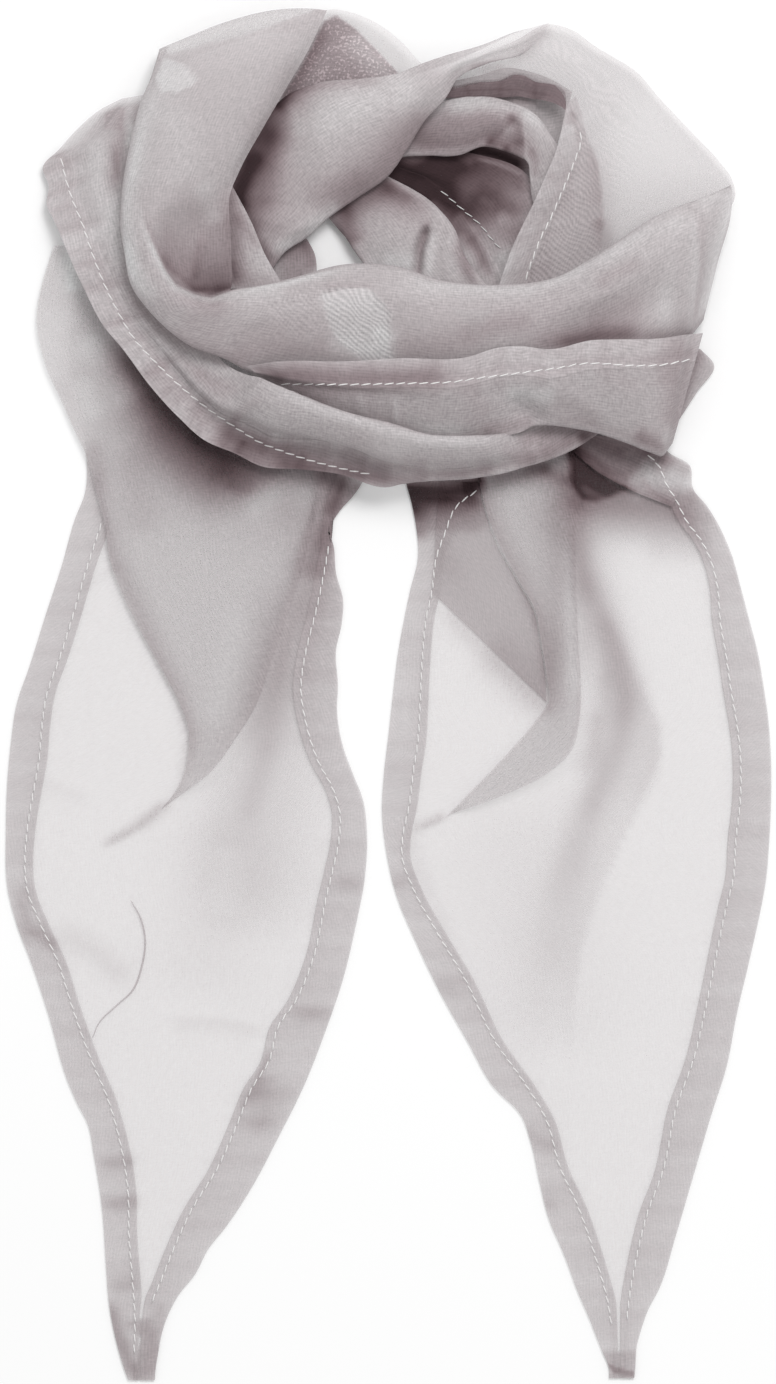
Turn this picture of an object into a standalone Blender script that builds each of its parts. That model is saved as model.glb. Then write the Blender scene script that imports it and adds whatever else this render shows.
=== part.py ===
"""A chiffon scarf, wound into a loose ring and laid flat with both pointed ends hanging down.

Metres, +Z up. The scarf lies on the plane z = 0 with its ends towards -Y, and the origin is
at the middle of its outline on that plane. The scarf is one long strip of cloth with a hem
turned all round. It is built as one closed wall for each stretch of the strip that shows.

Plan positions are on a layout grid, with x to the right and y down the page, so that every
table below reads like a drawing of the scarf. Heights and turns are in millimetres.
"""

import math
from collections import namedtuple

import bmesh
import bpy
import numpy as np

MM = 0.001
GRID = 0.28 * MM  # one step of the layout grid
GRID_CENTRE = (388.5, 695.5)  # the grid point above the origin

WALL = 1.0 * MM  # gathered chiffon, as a rigid wall
HEM_WALL = 1.5 * MM  # where the hem is turned twice
HEM_DEPTH = 9.0 * MM
HEM_STEP = 1.12  # the step down from a hem to the cloth ends at this many hem depths
NARROW = 0.42  # the most of a narrow row's width that one edge may take

FULL_ROLL = 3.0  # an edge that turns under this deep, or deeper, is rolled and not hemmed
TUCK = 0.8  # how far in under itself a turned edge ends, as a share of its turn
NOSE = 0.45  # where a flatter edge starts to come round, as a share of its hem or turn
SHOULDER = 0.55  # where a rolled edge meets the cloth above, as a share of its turn
FLANK_RISE = 0.85  # how full the front roll is halfway down its outer side
ROLL_TURN = 2.5 * MM  # how deep the front roll's outer edge turns under

BEND = 0.75 * MM  # radius of the pleats, at the middle of the wall
LOWER_STOP = 0.6  # where the lower layer's middle point lies between its hem and the pleat
PLEAT_RISE = 0.2  # how much of its depth a pleat rises where it stands half open
HEM_CLEAR = 3.0 * MM  # how far short of the pleat's bend the lower layer may start
FLAT_SHARE = 0.35  # the most of a flat row's width that the points of its pleat may take
RUN_OUT = 6.0 * MM  # how far a pleat's top layer takes to come down to the floor

CHIFFON = (0.40, 0.37, 0.375, 1.0)
CHIFFON_ROUGHNESS = 0.85

PLAIN = -1  # the turn of an edge that has neither a hem nor a roll, as it lies out of sight

# A rolled stretch: two long edges in plan, the height of the cloth beside each, how deep it
# turns under there (0 is a flat hem), and how far the middle stands above a straight line.
Band = namedtuple("Band", "edge z turn far far_z far_turn crown")

# The front roll: from its inner end across a dip, a lip and a crest to its outer edge.
Roll = namedtuple("Roll", "inner dip lip crest outer")

# A hanging end: its hem, the pleat's edge and the far hem in plan, the pleat's depth and
# how far it is turned in degrees (180 is a closed pleat), and the crown of the top layer.
Tail = namedtuple("Tail", "hem fold far depth turn crown")

LEFT_TAIL = [
    Tail((78, 246), (58, 240), (196, 284), 16, 180, 3.0),
    Tail((72, 296), (43, 285), (316, 305), 18, 180, 5.0),
    Tail((68, 330), (38, 322), (330, 328), 18, 180, 6.0),
    Tail((70, 366), (44, 358), (352, 356), 18, 180, 6.5),
    Tail((80, 401), (60, 396), (368, 392), 18, 180, 6.5),
    Tail((84, 432), (75, 430), (372, 430), 19, 180, 6.0),
    Tail((86, 464), (90, 463), (368, 466), 20, 180, 5.0),
    Tail((85, 493), (98, 492), (357, 490), 20, 180, 4.0),
    Tail((74, 522), (106, 525), (332, 527), 20, 180, 3.0),
    Tail((64, 558), (110, 556), (335, 556), 19, 180, 2.2),
    Tail((53, 594), (123, 594), (342, 594), 17, 180, 1.6),
    Tail((39, 634), (143, 634), (340, 634), 16, 180, 1.2),
    Tail((27, 674), (165, 674), (337, 674), 14, 180, 0.8),
    Tail((17, 705), (181, 705), (337, 705), 12, 180, 0.5),
    Tail((12, 735), (189, 735), (340, 735), 9, 180, 0.3),
    Tail((9, 764), (187, 762), (349, 764), 6, 180, 0.2),
    Tail((7, 790), (174, 790), (360, 790), 3, 150, 0.0),
    Tail((6, 818), (150, 818), (366, 818), 1, 90, 0.0),
    Tail((7, 845), (122, 843), (367, 845), 1, 40, 0.0),
    Tail((8, 880), (112, 878), (364, 880), 1, 0, 0.0),
    Tail((17, 925), (120, 925), (356, 925), 1, 0, 0.0),
    Tail((31, 962), (127, 962), (348, 962), 1, 0, 0.0),
    Tail((48, 1013), (134, 1013), (331, 1013), 1, 0, 0.0),
    Tail((61, 1058), (137, 1058), (315, 1058), 1, 0, 0.0),
    Tail((77, 1101), (141, 1101), (296, 1101), 1, 0, 0.0),
    Tail((90, 1137), (144, 1137), (279, 1137), 1, 0, 0.0),
    Tail((98, 1187), (144, 1187), (252, 1187), 1, 0, 0.0),
    Tail((103, 1228), (142, 1228), (225, 1228), 1, 0, 0.0),
    Tail((106, 1266), (138, 1266), (200, 1266), 1, 0, 0.0),
    Tail((109, 1303), (134, 1303), (175, 1303), 1, 0, 0.0),
    Tail((116, 1340), (132, 1340), (161, 1340), 1, 0, 0.0),
    Tail((128, 1382), (138, 1382), (156, 1381), 1, 0, 0.0),
]

RIGHT_TAIL = [
    Tail((382, 301), (396, 301), (502, 301), 10, 180, 2.0),
    Tail((388, 332), (410, 332), (530, 330), 12, 180, 2.5),
    Tail((394, 366), (430, 366), (562, 360), 14, 180, 2.5),
    Tail((399, 402), (447, 402), (600, 392), 16, 180, 2.5),
    Tail((402, 440), (464, 440), (640, 424), 18, 180, 2.5),
    Tail((405, 480), (480, 480), (676, 459), 19, 180, 2.5),
    Tail((412, 507), (486, 507), (694, 492), 19, 180, 2.2),
    Tail((418, 545), (499, 545), (714, 520), 19, 180, 2.0),
    Tail((414, 574), (513, 572), (732, 556), 18, 180, 1.6),
    Tail((408, 598), (528, 598), (744, 596), 16, 180, 1.3),
    Tail((402, 628), (540, 628), (752, 628), 12, 180, 1.0),
    Tail((397, 660), (546, 660), (760, 660), 9, 180, 0.7),
    Tail((392, 700), (549, 700), (766, 700), 8, 180, 0.5),
    Tail((388, 735), (527, 733), (769, 735), 7, 180, 0.3),
    Tail((384, 770), (493, 768), (771, 770), 6, 180, 0.2),
    Tail((382, 803), (462, 801), (771, 803), 3, 150, 0.0),
    Tail((384, 832), (440, 830), (770, 832), 1, 90, 0.0),
    Tail((388, 862), (446, 860), (768, 862), 1, 40, 0.0),
    Tail((397, 900), (466, 900), (763, 900), 1, 0, 0.0),
    Tail((416, 942), (490, 942), (755, 942), 1, 0, 0.0),
    Tail((442, 996), (510, 996), (743, 996), 1, 0, 0.0),
    Tail((469, 1044), (530, 1044), (732, 1044), 1, 0, 0.0),
    Tail((493, 1086), (545, 1086), (720, 1086), 1, 0, 0.0),
    Tail((524, 1122), (565, 1122), (709, 1122), 1, 0, 0.0),
    Tail((540, 1182), (575, 1182), (692, 1182), 1, 0, 0.0),
    Tail((553, 1228), (583, 1228), (678, 1228), 1, 0, 0.0),
    Tail((568, 1267), (590, 1267), (665, 1267), 1, 0, 0.0),
    Tail((587, 1313), (602, 1313), (648, 1313), 1, 0, 0.0),
    Tail((602, 1351), (610, 1351), (638, 1349), 1, 0, 0.0),
    Tail((609, 1381), (617, 1382), (635, 1375), 1, 0, 0.0),
]

FRONT_ROLL = [
    Roll((327, 12, 10), (316, 11, 12), (286, 11, 13), (220, 26, 12), (160, 50, 7)),
    Roll((311, 48, 11), (302, 48, 14), (266, 50, 17), (210, 62, 17), (153, 76, 7.5)),
    Roll((288, 88, 11), (280, 88, 14.5), (250, 89, 18.5), (200, 95, 19.5), (143, 104, 9)),
    Roll((263, 131, 11.5), (256, 130, 15), (230, 128, 19), (188, 129, 20.5), (136, 140, 10.5)),
    Roll((241, 171, 12), (234, 170, 15), (212, 166, 18.5), (176, 165, 20.5), (129, 173, 11.5)),
    Roll((230, 200, 13), (220, 200, 14), (198, 199, 17), (163, 197, 20.5), (123, 200, 12)),
    Roll((231, 231, 12.5), (205, 231, 12), (174, 228, 16), (148, 226, 20.5), (122, 227, 12.5)),
    Roll((232, 262, 12), (202, 264, 11), (170, 257, 15), (149, 252, 20.5), (126, 254, 13)),
    Roll((232, 288, 11.5), (206, 288, 10.5), (180, 283, 15), (161, 280, 21), (133, 288, 14)),
    Roll((226, 303, 11), (208, 304, 11), (197, 296, 16), (181, 302, 21.5), (148, 310, 15)),
    Roll((217, 318, 11), (215, 308, 12.5), (212, 299, 17), (205, 311, 22), (165, 328, 16)),
    Roll((240, 314, 11), (235, 302, 13), (232, 292, 17), (230, 306, 22.5), (190, 347, 16.5)),
    Roll((268, 311, 11), (262, 299, 13), (260, 288, 17), (262, 304, 22.5), (224, 360, 16.5)),
    Roll((302, 303, 11), (298, 290, 13), (297, 279, 17), (300, 298, 23), (262, 380, 14.5)),
    Roll((345, 291, 11), (342, 277, 13), (342, 267, 17), (345, 287, 23), (325, 402, 12)),
    Roll((395, 292, 11), (393, 278, 13), (393, 268, 17), (395, 289, 23), (390, 410, 12)),
    Roll((445, 308, 11), (443, 293, 13), (443, 283, 17), (445, 304, 23), (445, 412, 12)),
    Roll((500, 312, 11), (500, 297, 13), (500, 287, 17), (500, 307, 23), (505, 410, 12)),
    Roll((560, 304, 10.5), (556, 289, 13), (553, 280, 17), (560, 300, 22.5), (570, 400, 11.5)),
    Roll((615, 277, 10), (606, 262, 12), (602, 253, 16), (612, 276, 22), (628, 390, 10.5)),
    Roll((666, 245, 9.5), (660, 228, 11), (657, 217, 14.5), (664, 242, 19.5), (668, 364, 8)),
    Roll((706, 226, 8.5), (704, 209, 9.5), (703, 199, 12), (706, 226, 15), (688, 340, 5.2)),
    Roll((725, 216, 6), (732, 200, 6), (735, 189, 6.5), (719, 230, 9), (703, 320, 4.2)),
]

FRONT_BAND = [
    Band((248, 368), 19.2, 0, (266, 384), 16.6, PLAIN, 0.1),
    Band((280, 364), 23.3, 0, (302, 405), 18.0, PLAIN, 0.6),
    Band((345, 364), 23.6, 0, (350, 421), 17.5, PLAIN, 1.6),
    Band((400, 361), 23.8, 0, (401, 434), 17.0, PLAIN, 2.0),
    Band((465, 360), 23.6, 0, (461, 444), 16.5, PLAIN, 2.4),
    Band((500, 350), 23.8, 0, (500, 438), 15.5, PLAIN, 2.4),
    Band((520, 349), 23.7, 0, (519, 430), 16.0, 1, 2.4),
    Band((548, 352), 23.4, 0, (548, 427), 17.0, 3, 2.4),
    Band((590, 343), 23.0, 0, (588, 433), 16.0, 4, 2.5),
    Band((622, 342), 22.0, 0, (622, 443), 15.0, 4, 2.5),
    Band((655, 341), 19.8, 0, (650, 454), 13.0, 4, 2.5),
    Band((682, 337), 16.5, 0, (662, 457), 9.5, 4, 2.0),
    Band((702, 334), 10.8, 0, (672, 444), 7.0, 3, 1.0),
]

LOWER_BAND = [
    Band((122, 99), 1.8, 0, (147, 95), 2.4, PLAIN, 0.1),
    Band((99, 111), 1.8, 0, (148, 101), 3.0, PLAIN, 0.5),
    Band((78, 129), 1.8, 0, (149, 108), 3.6, PLAIN, 0.9),
    Band((59, 150), 1.8, 0, (150, 116), 4.2, PLAIN, 1.2),
    Band((43, 168), 2.0, 0, (150, 125), 4.8, PLAIN, 1.4),
    Band((49, 186), 2.5, 0, (150, 138), 5.3, PLAIN, 1.4),
    Band((47, 205), 3.5, 0, (150, 157), 6.0, PLAIN, 1.2),
    Band((54, 220), 5.0, 0, (148, 185), 6.8, PLAIN, 0.9),
    Band((62, 238), 6.5, 0, (150, 215), 7.4, PLAIN, 0.6),
    Band((72, 262), 8.0, 0, (152, 245), 8.0, PLAIN, 0.5),
    Band((85, 290), 9.0, 0, (160, 275), 8.8, PLAIN, 0.5),
    Band((103, 325), 9.5, 0, (172, 305), 9.8, PLAIN, 0.6),
    Band((125, 352), 9.7, 0, (188, 328), 11.0, PLAIN, 0.8),
    Band((150, 386), 9.7, 0, (208, 346), 12.0, PLAIN, 1.2),
    Band((180, 419), 9.5, 0, (227, 366), 14.5, PLAIN, 2.0),
    Band((205, 441), 9.5, 0, (246, 376), 18.0, PLAIN, 2.6),
    Band((235, 454), 9.5, 0, (265, 379), 23.0, 1.5, 2.6),
    Band((262, 467), 9.5, 0, (288, 390), 24.3, 2.2, 2.8),
    Band((300, 470), 10.0, 0, (315, 402), 24.5, 3, 3.0),
    Band((340, 475), 10.0, 0, (348, 414), 24.5, 3, 3.2),
    Band((385, 489), 10.0, 1, (388, 424), 24.0, 3, 3.2),
    Band((430, 482), 11.4, 3, (430, 436), 23.5, 3, 3.0),
    Band((475, 479), 11.6, 4, (472, 437), 23.0, 3, 3.0),
    Band((508, 473), 11.6, 4, (502, 436), 19.5, 2, 2.0),
    Band((524, 468), 11.6, 4, (518, 435), 13.5, 1, 1.0),
    Band((542, 463), 11.2, 4, (535, 421), 10.8, PLAIN, 0.6),
    Band((570, 452), 10.0, 3, (563, 404), 9.4, PLAIN, 0.5),
    Band((600, 434), 8.0, 2, (593, 396), 8.0, PLAIN, 0.3),
]

CROSS_STRAND = [
    Band((549, 24), 5.5, PLAIN, (542, 37), 5.5, PLAIN, 0.2),
    Band((515, 32), 6.5, 1.5, (523, 56), 6.5, 1, 0.8),
    Band((482, 46), 8.5, 2, (484, 67), 8.5, 2, 1.5),
    Band((446, 57), 10.0, 3, (458, 80), 10.0, 3, 2.0),
    Band((423, 65), 11.0, 3, (447, 98), 11.5, 3, 2.5),
    Band((398, 75), 11.0, 3, (424, 124), 11.0, 4, 3.0),
    Band((362, 80), 10.0, 3, (405, 155), 10.0, 4, 4.0),
    Band((325, 83), 9.5, 3, (388, 178), 9.0, 3, 4.0),
    Band((288, 94), 8.5, 2, (358, 199), 8.0, 3, 3.5),
    Band((264, 116), 7.5, 2, (330, 218), 7.5, 3, 3.0),
    Band((244, 144), 7.0, 2, (308, 238), 6.8, 3, 2.5),
    Band((229, 178), 6.8, 2, (285, 254), 6.5, 2.5, 1.6),
    Band((214, 217), 6.5, 1.5, (272, 274), 6.0, 2, 1.0),
    Band((198, 264), 6.0, 1, (262, 294), 5.8, 1, 0.5),
]

TOP_LOOP = [
    Band((453, 90), 4.2, 0.5, (456, 72), 4.6, 0.5, 0.0),
    Band((478, 85), 4.2, 1, (484, 54), 4.6, 1, 0.2),
    Band((500, 83), 4.2, 1, (516, 40), 4.0, 1, 0.4),
    Band((516, 77), 4.2, 1, (549, 24), 3.4, 1, 0.8),
    Band((536, 83), 4.6, 1, (575, 31), 3.0, 1, 1.0),
    Band((555, 88), 5.6, 0.6, (594, 45), 2.8, 1, 1.1),
    Band((565, 102), 7.2, 0, (614, 57), 2.6, 1, 1.4),
    Band((562, 126), 8.5, 0, (635, 70), 2.6, 1, 1.5),
    Band((557, 148), 9.0, 0, (660, 98), 2.6, 1, 2.0),
    Band((544, 180), 9.0, 0, (692, 132), 2.6, 1, 2.2),
    Band((531, 209), 8.8, 0, (721, 163), 2.6, 1, 2.0),
    Band((515, 242), 8.3, 0, (734, 190), 2.2, 1, 0.8),
    Band((502, 276), 7.8, 0, (719, 230), 2.2, 1, 0.0),
    Band((494, 304), 7.2, 0, (708, 296), 2.2, 1, 0.0),
]

INNER_ROLL = [
    Band((438, 102), 5.0, 1.5, (398, 160), 5.0, 1.5, 1.0),
    Band((456, 98), 6.0, 2, (428, 158), 5.8, 2, 1.5),
    Band((476, 97), 6.8, 2.5, (458, 154), 6.8, 2.5, 1.8),
    Band((498, 99), 7.0, 2.5, (482, 148), 6.8, 2, 1.3),
    Band((514, 104), 7.0, 2.5, (500, 153), 6.6, 1.5, 0.7),
    Band((530, 111), 7.0, 2.5, (514, 158), 6.6, 1.5, 0.5),
    Band((545, 125), 6.7, 2, (526, 165), 6.6, 1.5, 0.4),
    Band((560, 148), 6.4, 1, (528, 180), 6.2, 1.5, 0.3),
    Band((572, 175), 6.0, 1, (530, 196), 5.8, 1.2, 0.2),
    Band((576, 200), 5.6, 1, (534, 210), 5.6, 1, 0.1),
]

INNER_STRAND = [
    Band((322, 205), 3.4, 1, (402, 178), 4.2, 1, 0.4),
    Band((338, 232), 4.0, 1.5, (436, 206), 5.4, 1.5, 1.0),
    Band((350, 248), 4.5, 2, (458, 234), 5.8, 1.5, 1.5),
    Band((362, 265), 4.5, 2, (477, 263), 5.8, 1.5, 1.5),
    Band((380, 298), 4.5, 1.5, (500, 298), 5.4, 1.5, 1.5),
]

INNER_BACK = [
    Band((372, 182), 1.2, 0, (398, 138), 2.2, PLAIN, 0.3),
    Band((392, 192), 1.4, 0, (430, 146), 2.9, 0.5, 0.4),
    Band((412, 206), 1.7, 0, (470, 153), 3.1, 0.5, 0.5),
    Band((430, 226), 1.8, 0, (526, 174), 3.4, 0.5, 0.6),
    Band((450, 250), 1.8, 0, (546, 215), 3.2, 0.5, 0.5),
    Band((468, 278), 1.7, 0, (552, 262), 3.0, PLAIN, 0.4),
    Band((478, 296), 1.7, 0, (554, 293), 2.5, PLAIN, 0.2),
]

LOOP_BACK = [
    Band((436, 168), 0.7, PLAIN, (448, 82), 0.9, PLAIN, 0.2),
    Band((464, 178), 0.7, PLAIN, (478, 76), 1.0, PLAIN, 0.3),
    Band((492, 186), 0.7, PLAIN, (508, 68), 1.2, PLAIN, 0.3),
    Band((516, 190), 0.7, PLAIN, (530, 72), 1.2, PLAIN, 0.3),
    Band((534, 184), 0.7, PLAIN, (552, 80), 1.0, PLAIN, 0.3),
    Band((552, 164), 0.7, PLAIN, (572, 92), 0.9, PLAIN, 0.2),
]

TOP_BACK = [
    Band((300, 16), 2.2, 0, (272, 112), 3.5, 0, 0.2),
    Band((335, 9), 2.4, 1, (300, 104), 4.0, 0, 0.6),
    Band((370, 19), 3.0, 1, (348, 98), 5.0, 0, 1.0),
    Band((403, 43), 4.0, 1, (396, 98), 5.5, 0, 0.8),
    Band((422, 64), 5.5, 1, (424, 98), 6.0, 0, 0.3),
    Band((440, 74), 6.5, 1, (442, 94), 6.5, 0, 0.2),
]

SIDE_FOLD = [
    Band((636, 352), 1.8, PLAIN, (700, 349), 0.7, PLAIN, 0.0),
    Band((630, 370), 2.2, PLAIN, (714, 365), 0.7, PLAIN, 0.2),
    Band((622, 394), 2.8, PLAIN, (697, 392), 0.7, PLAIN, 0.2),
    Band((614, 416), 3.1, PLAIN, (677, 423), 0.7, PLAIN, 0.0),
]

INNER_FOLD = [
    Band((227, 188), 10.8, PLAIN, (232, 186), 10.8, PLAIN, 0.0),
    Band((229, 226), 10.4, PLAIN, (252, 224), 10.2, PLAIN, 0.3),
    Band((230, 258), 9.8, PLAIN, (266, 257), 9.2, PLAIN, 0.6),
    Band((231, 290), 9.4, PLAIN, (284, 287), 8.8, PLAIN, 0.6),
]

BACK_FOLD = [
    Band((270, 240), 2.6, PLAIN, (307, 239), 2.0, PLAIN, 0.2),
    Band((264, 258), 2.6, PLAIN, (315, 255), 2.0, PLAIN, 0.4),
    Band((262, 276), 2.6, PLAIN, (317, 274), 2.0, PLAIN, 0.4),
    Band((262, 291), 2.6, PLAIN, (317, 299), 2.2, PLAIN, 0.2),
]


def plan(x, y, height=0.0):
    """The point of the model at a layout grid position, height millimetres above the floor."""
    return np.array(
        [(x - GRID_CENTRE[0]) * GRID, (GRID_CENTRE[1] - y) * GRID, height * MM]
    )


def unit(vector):
    """A vector's direction."""
    return vector / max(np.linalg.norm(vector), 1e-9)


def curve_through(points, steps):
    """Points along a smooth curve through the given ones, steps from each to the next."""
    points = np.asarray(points, float)
    reach = np.maximum(np.linalg.norm(np.diff(points, axis=0), axis=1), 1e-9)[:, None]
    slope = np.diff(points, axis=0) / reach
    tangent = np.empty_like(points)
    tangent[0], tangent[-1] = slope[0], slope[-1]
    weighted = slope[:-1] * reach[1:] + slope[1:] * reach[:-1]
    tangent[1:-1] = weighted / (reach[:-1] + reach[1:])
    curve = [points[0]]
    for start in range(len(points) - 1):
        for step in range(1, steps + 1):
            s = step / steps
            rise = s * s * (3 - 2 * s)
            leave = s * (1 - s) ** 2 * reach[start] * tangent[start]
            arrive = -s * s * (1 - s) * reach[start] * tangent[start + 1]
            curve.append(points[start] * (1 - rise) + points[start + 1] * rise + leave + arrive)
    return np.array(curve)


def smooth_grid(rows, across, along):
    """A finer grid of points through rows of control points."""
    rows = np.array([curve_through(row, across) for row in rows])
    columns = [curve_through(rows[:, i], along) for i in range(rows.shape[1])]
    return np.stack(columns, axis=1)


def edge_points(edge, inward, middle, z, turn, width):
    """Three points at a stretch's long edge, from the outside in: a roll, or a flat hem."""
    base = plan(*edge, z)
    if turn == PLAIN:
        return [base + (middle - base) * k / 3 for k in range(3)]
    rolled = min(turn / FULL_ROLL, 1.0)
    hem = min(HEM_DEPTH, NARROW * width)
    depth = turn * MM
    under = base + inward * TUCK * depth
    under[2] = z * MM - depth
    extreme = base + inward * hem * NOSE * (1 - rolled)
    extreme[2] = z * MM - depth / 2
    shoulder = base + inward * min(hem * (1 - rolled) + SHOULDER * depth, NARROW * width)
    shoulder[2] = z * MM
    return [under, extreme, shoulder]


def band_section(row):
    """The seven control points across one row of a rolled stretch."""
    across = plan(*row.far) - plan(*row.edge)
    width = np.linalg.norm(across)
    across = across / width
    middle = (plan(*row.edge, row.z) + plan(*row.far, row.far_z)) / 2
    middle[2] += row.crown * MM
    near = edge_points(row.edge, across, middle, row.z, row.turn, width)
    far = edge_points(row.far, -across, middle, row.far_z, row.far_turn, width)
    return near + [middle] + far[::-1]


def roll_section(row):
    """The seven control points across one row of the front roll."""
    inner, dip, lip, crest, outer = (plan(*point) for point in row)
    flank = (crest + outer) / 2
    flank[2] = outer[2] + FLANK_RISE * (crest[2] - outer[2])
    inward = unit((crest - outer) * (1, 1, 0))
    under = outer + inward * ROLL_TURN
    under[2] = outer[2] - ROLL_TURN
    return [inner, dip, lip, crest, flank, outer, under]


def turned_end(first, second, drop, reach):
    """Three rows that end a stretch in a fold: under, at the fold and just inside it."""
    way = [unit((b - a) * (1, 1, 0)) for a, b in zip(first, second)]
    under = [p * (1, 1, 1 - drop) + w * TUCK * reach for p, w in zip(first, way)]
    extreme = [p * (1, 1, 1 - NOSE * drop) for p in first]
    shoulder = [p + w * NOSE * reach for p, w in zip(first, way)]
    return [under, extreme, shoulder]


def with_turned_ends(rows, start, end):
    """The rows with a fold in place of each end that has one, given as (drop, reach)."""
    rows = list(rows)
    if start:
        rows = turned_end(rows[0], rows[1], *start) + rows[1:]
    if end:
        rows = rows[:-1] + turned_end(rows[-1], rows[-2], *end)[::-1]
    return rows


def floor_to(value, low, high):
    """0 up to low, 1 from high, and an even slope without corners between."""
    s = min(max((value - low) / (high - low), 0.0), 1.0)
    return s * s * (3 - 2 * s)


def tail_section(row):
    """Points across one row of a hanging end: hem, lower layer, pleat, top layer, far hem."""
    hem, fold, far = (plan(*p) for p in (row.hem, row.fold, row.far))
    right = unit(far - fold)
    start = np.dot(hem - fold, right)
    left = unit(hem - fold) if start < 0 else right
    width = np.linalg.norm(far - fold)
    depth = row.depth * MM
    angle = math.radians(max(row.turn, 1.0))
    squeeze = 1.0
    if row.turn < 90:
        squeeze = min(FLAT_SHARE * width / (2 * math.pi * BEND + depth), 1.0)
    depth *= squeeze
    radius = math.pi * BEND * squeeze / angle
    lower = WALL / 2

    def at(run, z):
        """The point at a run to the right of the fold, or to the left where negative."""
        point = fold + (right if run >= 0 else -left) * run
        return np.array([point[0], point[1], z])

    # The pleat's lower bend starts here, so that the upper bend just reaches the fold line.
    bend = depth * max(-math.cos(angle), 0.0) + BEND * squeeze
    if start >= 0:
        start = min(start, bend - HEM_CLEAR)
    section = [at(start, lower)]
    hem_run = min(HEM_DEPTH, NARROW * (bend - start))
    section.append(at(start + hem_run, lower))
    section.append(at(start + hem_run * HEM_STEP, lower))
    section.append(at(start + LOWER_STOP * (bend - start), lower))
    for k in range(5):
        a = angle * k / 4
        section.append(at(bend + radius * math.sin(a), lower + radius * (1 - math.cos(a))))
    x = bend + radius * math.sin(angle) + depth * math.cos(angle)
    z = lower + radius * (1 - math.cos(angle)) + depth * math.sin(angle) * PLEAT_RISE
    for k in range(5):
        a = angle * (1 - k / 4)
        section.append(
            at(
                x + radius * (math.sin(angle) - math.sin(a)),
                z + radius * (math.cos(a) - math.cos(angle)),
            )
        )
    top = section[-1][2]
    begin = x + radius * math.sin(angle)
    far_hem = min(HEM_DEPTH, NARROW * (width - begin))
    lowest = bend + 2 * BEND
    stops = list(np.linspace(begin, width - far_hem * HEM_STEP, 7)[1:])
    stops += [width - far_hem, width - far_hem / 2, width]
    for run in stops:
        settled = floor_to(run, lowest, lowest + RUN_OUT)
        swell = row.crown * MM * math.sin(math.pi * min(max(run / width, 0.0), 1.0)) ** 1.5
        section.append(at(run, lower + (top - lower) * (1 - settled) + swell))
    return section


def grid_object(name, points, hem_weight):
    """A named wall of cloth through a grid of points, thicker where the hem is turned."""
    rows, columns = points.shape[:2]
    mesh = bpy.data.meshes.new(name)
    shape = bmesh.new()
    verts = [shape.verts.new(p) for p in points.reshape(-1, 3)]
    for i in range(rows - 1):
        for j in range(columns - 1):
            a = i * columns + j
            shape.faces.new((verts[a], verts[a + 1], verts[a + columns + 1], verts[a + columns]))
    shape.to_mesh(mesh)
    shape.free()
    mesh.shade_smooth()
    piece = bpy.data.objects.new(name, mesh)
    scarf.objects.link(piece)
    hem = piece.vertex_groups.new(name="hem")
    for index, weight in enumerate(hem_weight.reshape(-1)):
        hem.add([index], float(weight), "REPLACE")
    solid = piece.modifiers.new("Wall", "SOLIDIFY")
    solid.thickness = HEM_WALL
    solid.offset = 0.0
    solid.vertex_group = hem.name
    solid.thickness_vertex_group = WALL / HEM_WALL
    solid.use_even_offset = False
    mesh.materials.append(chiffon)
    return piece


def raise_hems(points, hem_weight):
    """Lift a hem's middle surface so that its underside stays level with the cloth beside."""
    points[:, :, 2] += hem_weight * (HEM_WALL - WALL) / 2
    return points


def band_object(name, table, along=2, across=2, ends=(None, None)):
    """A rolled stretch from its table."""
    rows = with_turned_ends([band_section(row) for row in table], *ends)
    points = smooth_grid(rows, across, along)
    turns = [(row.turn, row.far_turn) for row in table]
    turns = [turns[0]] * (len(rows) - len(table) if ends[0] else 0) + turns
    turns += [turns[-1]] * (len(rows) - len(turns))
    hem_weight = np.zeros(points.shape[:2])
    for i in range(points.shape[0]):
        turn, far_turn = turns[min(i // along, len(turns) - 1)]
        hem_weight[i, : 2 * across + 1] = turn == 0
        hem_weight[i, -2 * across - 1 :] = far_turn == 0
    return grid_object(name, points, hem_weight)


def roll_object(name, table, along=2, across=2, ends=(None, None)):
    """The front roll from its table."""
    rows = with_turned_ends([roll_section(row) for row in table], *ends)
    points = smooth_grid(rows, across, along)
    return grid_object(name, points, np.zeros(points.shape[:2]))


def tail_object(name, table):
    """A hanging end from its table."""
    points = np.array([tail_section(row) for row in table])
    hem_weight = np.zeros(points.shape[:2])
    hem_weight[:, :2] = 1
    hem_weight[:, -3:] = 1
    return grid_object(name, raise_hems(points, hem_weight), hem_weight)


def clear_scene():
    """Empty the file of everything it starts with."""
    for thing in list(bpy.data.objects):
        bpy.data.objects.remove(thing)


def chiffon_material():
    """Silver-grey chiffon."""
    material = bpy.data.materials.new("chiffon")
    material.use_nodes = True
    shader = material.node_tree.nodes["Principled BSDF"]
    shader.inputs["Base Color"].default_value = CHIFFON
    shader.inputs["Roughness"].default_value = CHIFFON_ROUGHNESS
    return material


clear_scene()
scarf = bpy.data.collections.new("Chiffon scarf")
bpy.context.scene.collection.children.link(scarf)
chiffon = chiffon_material()

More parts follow.
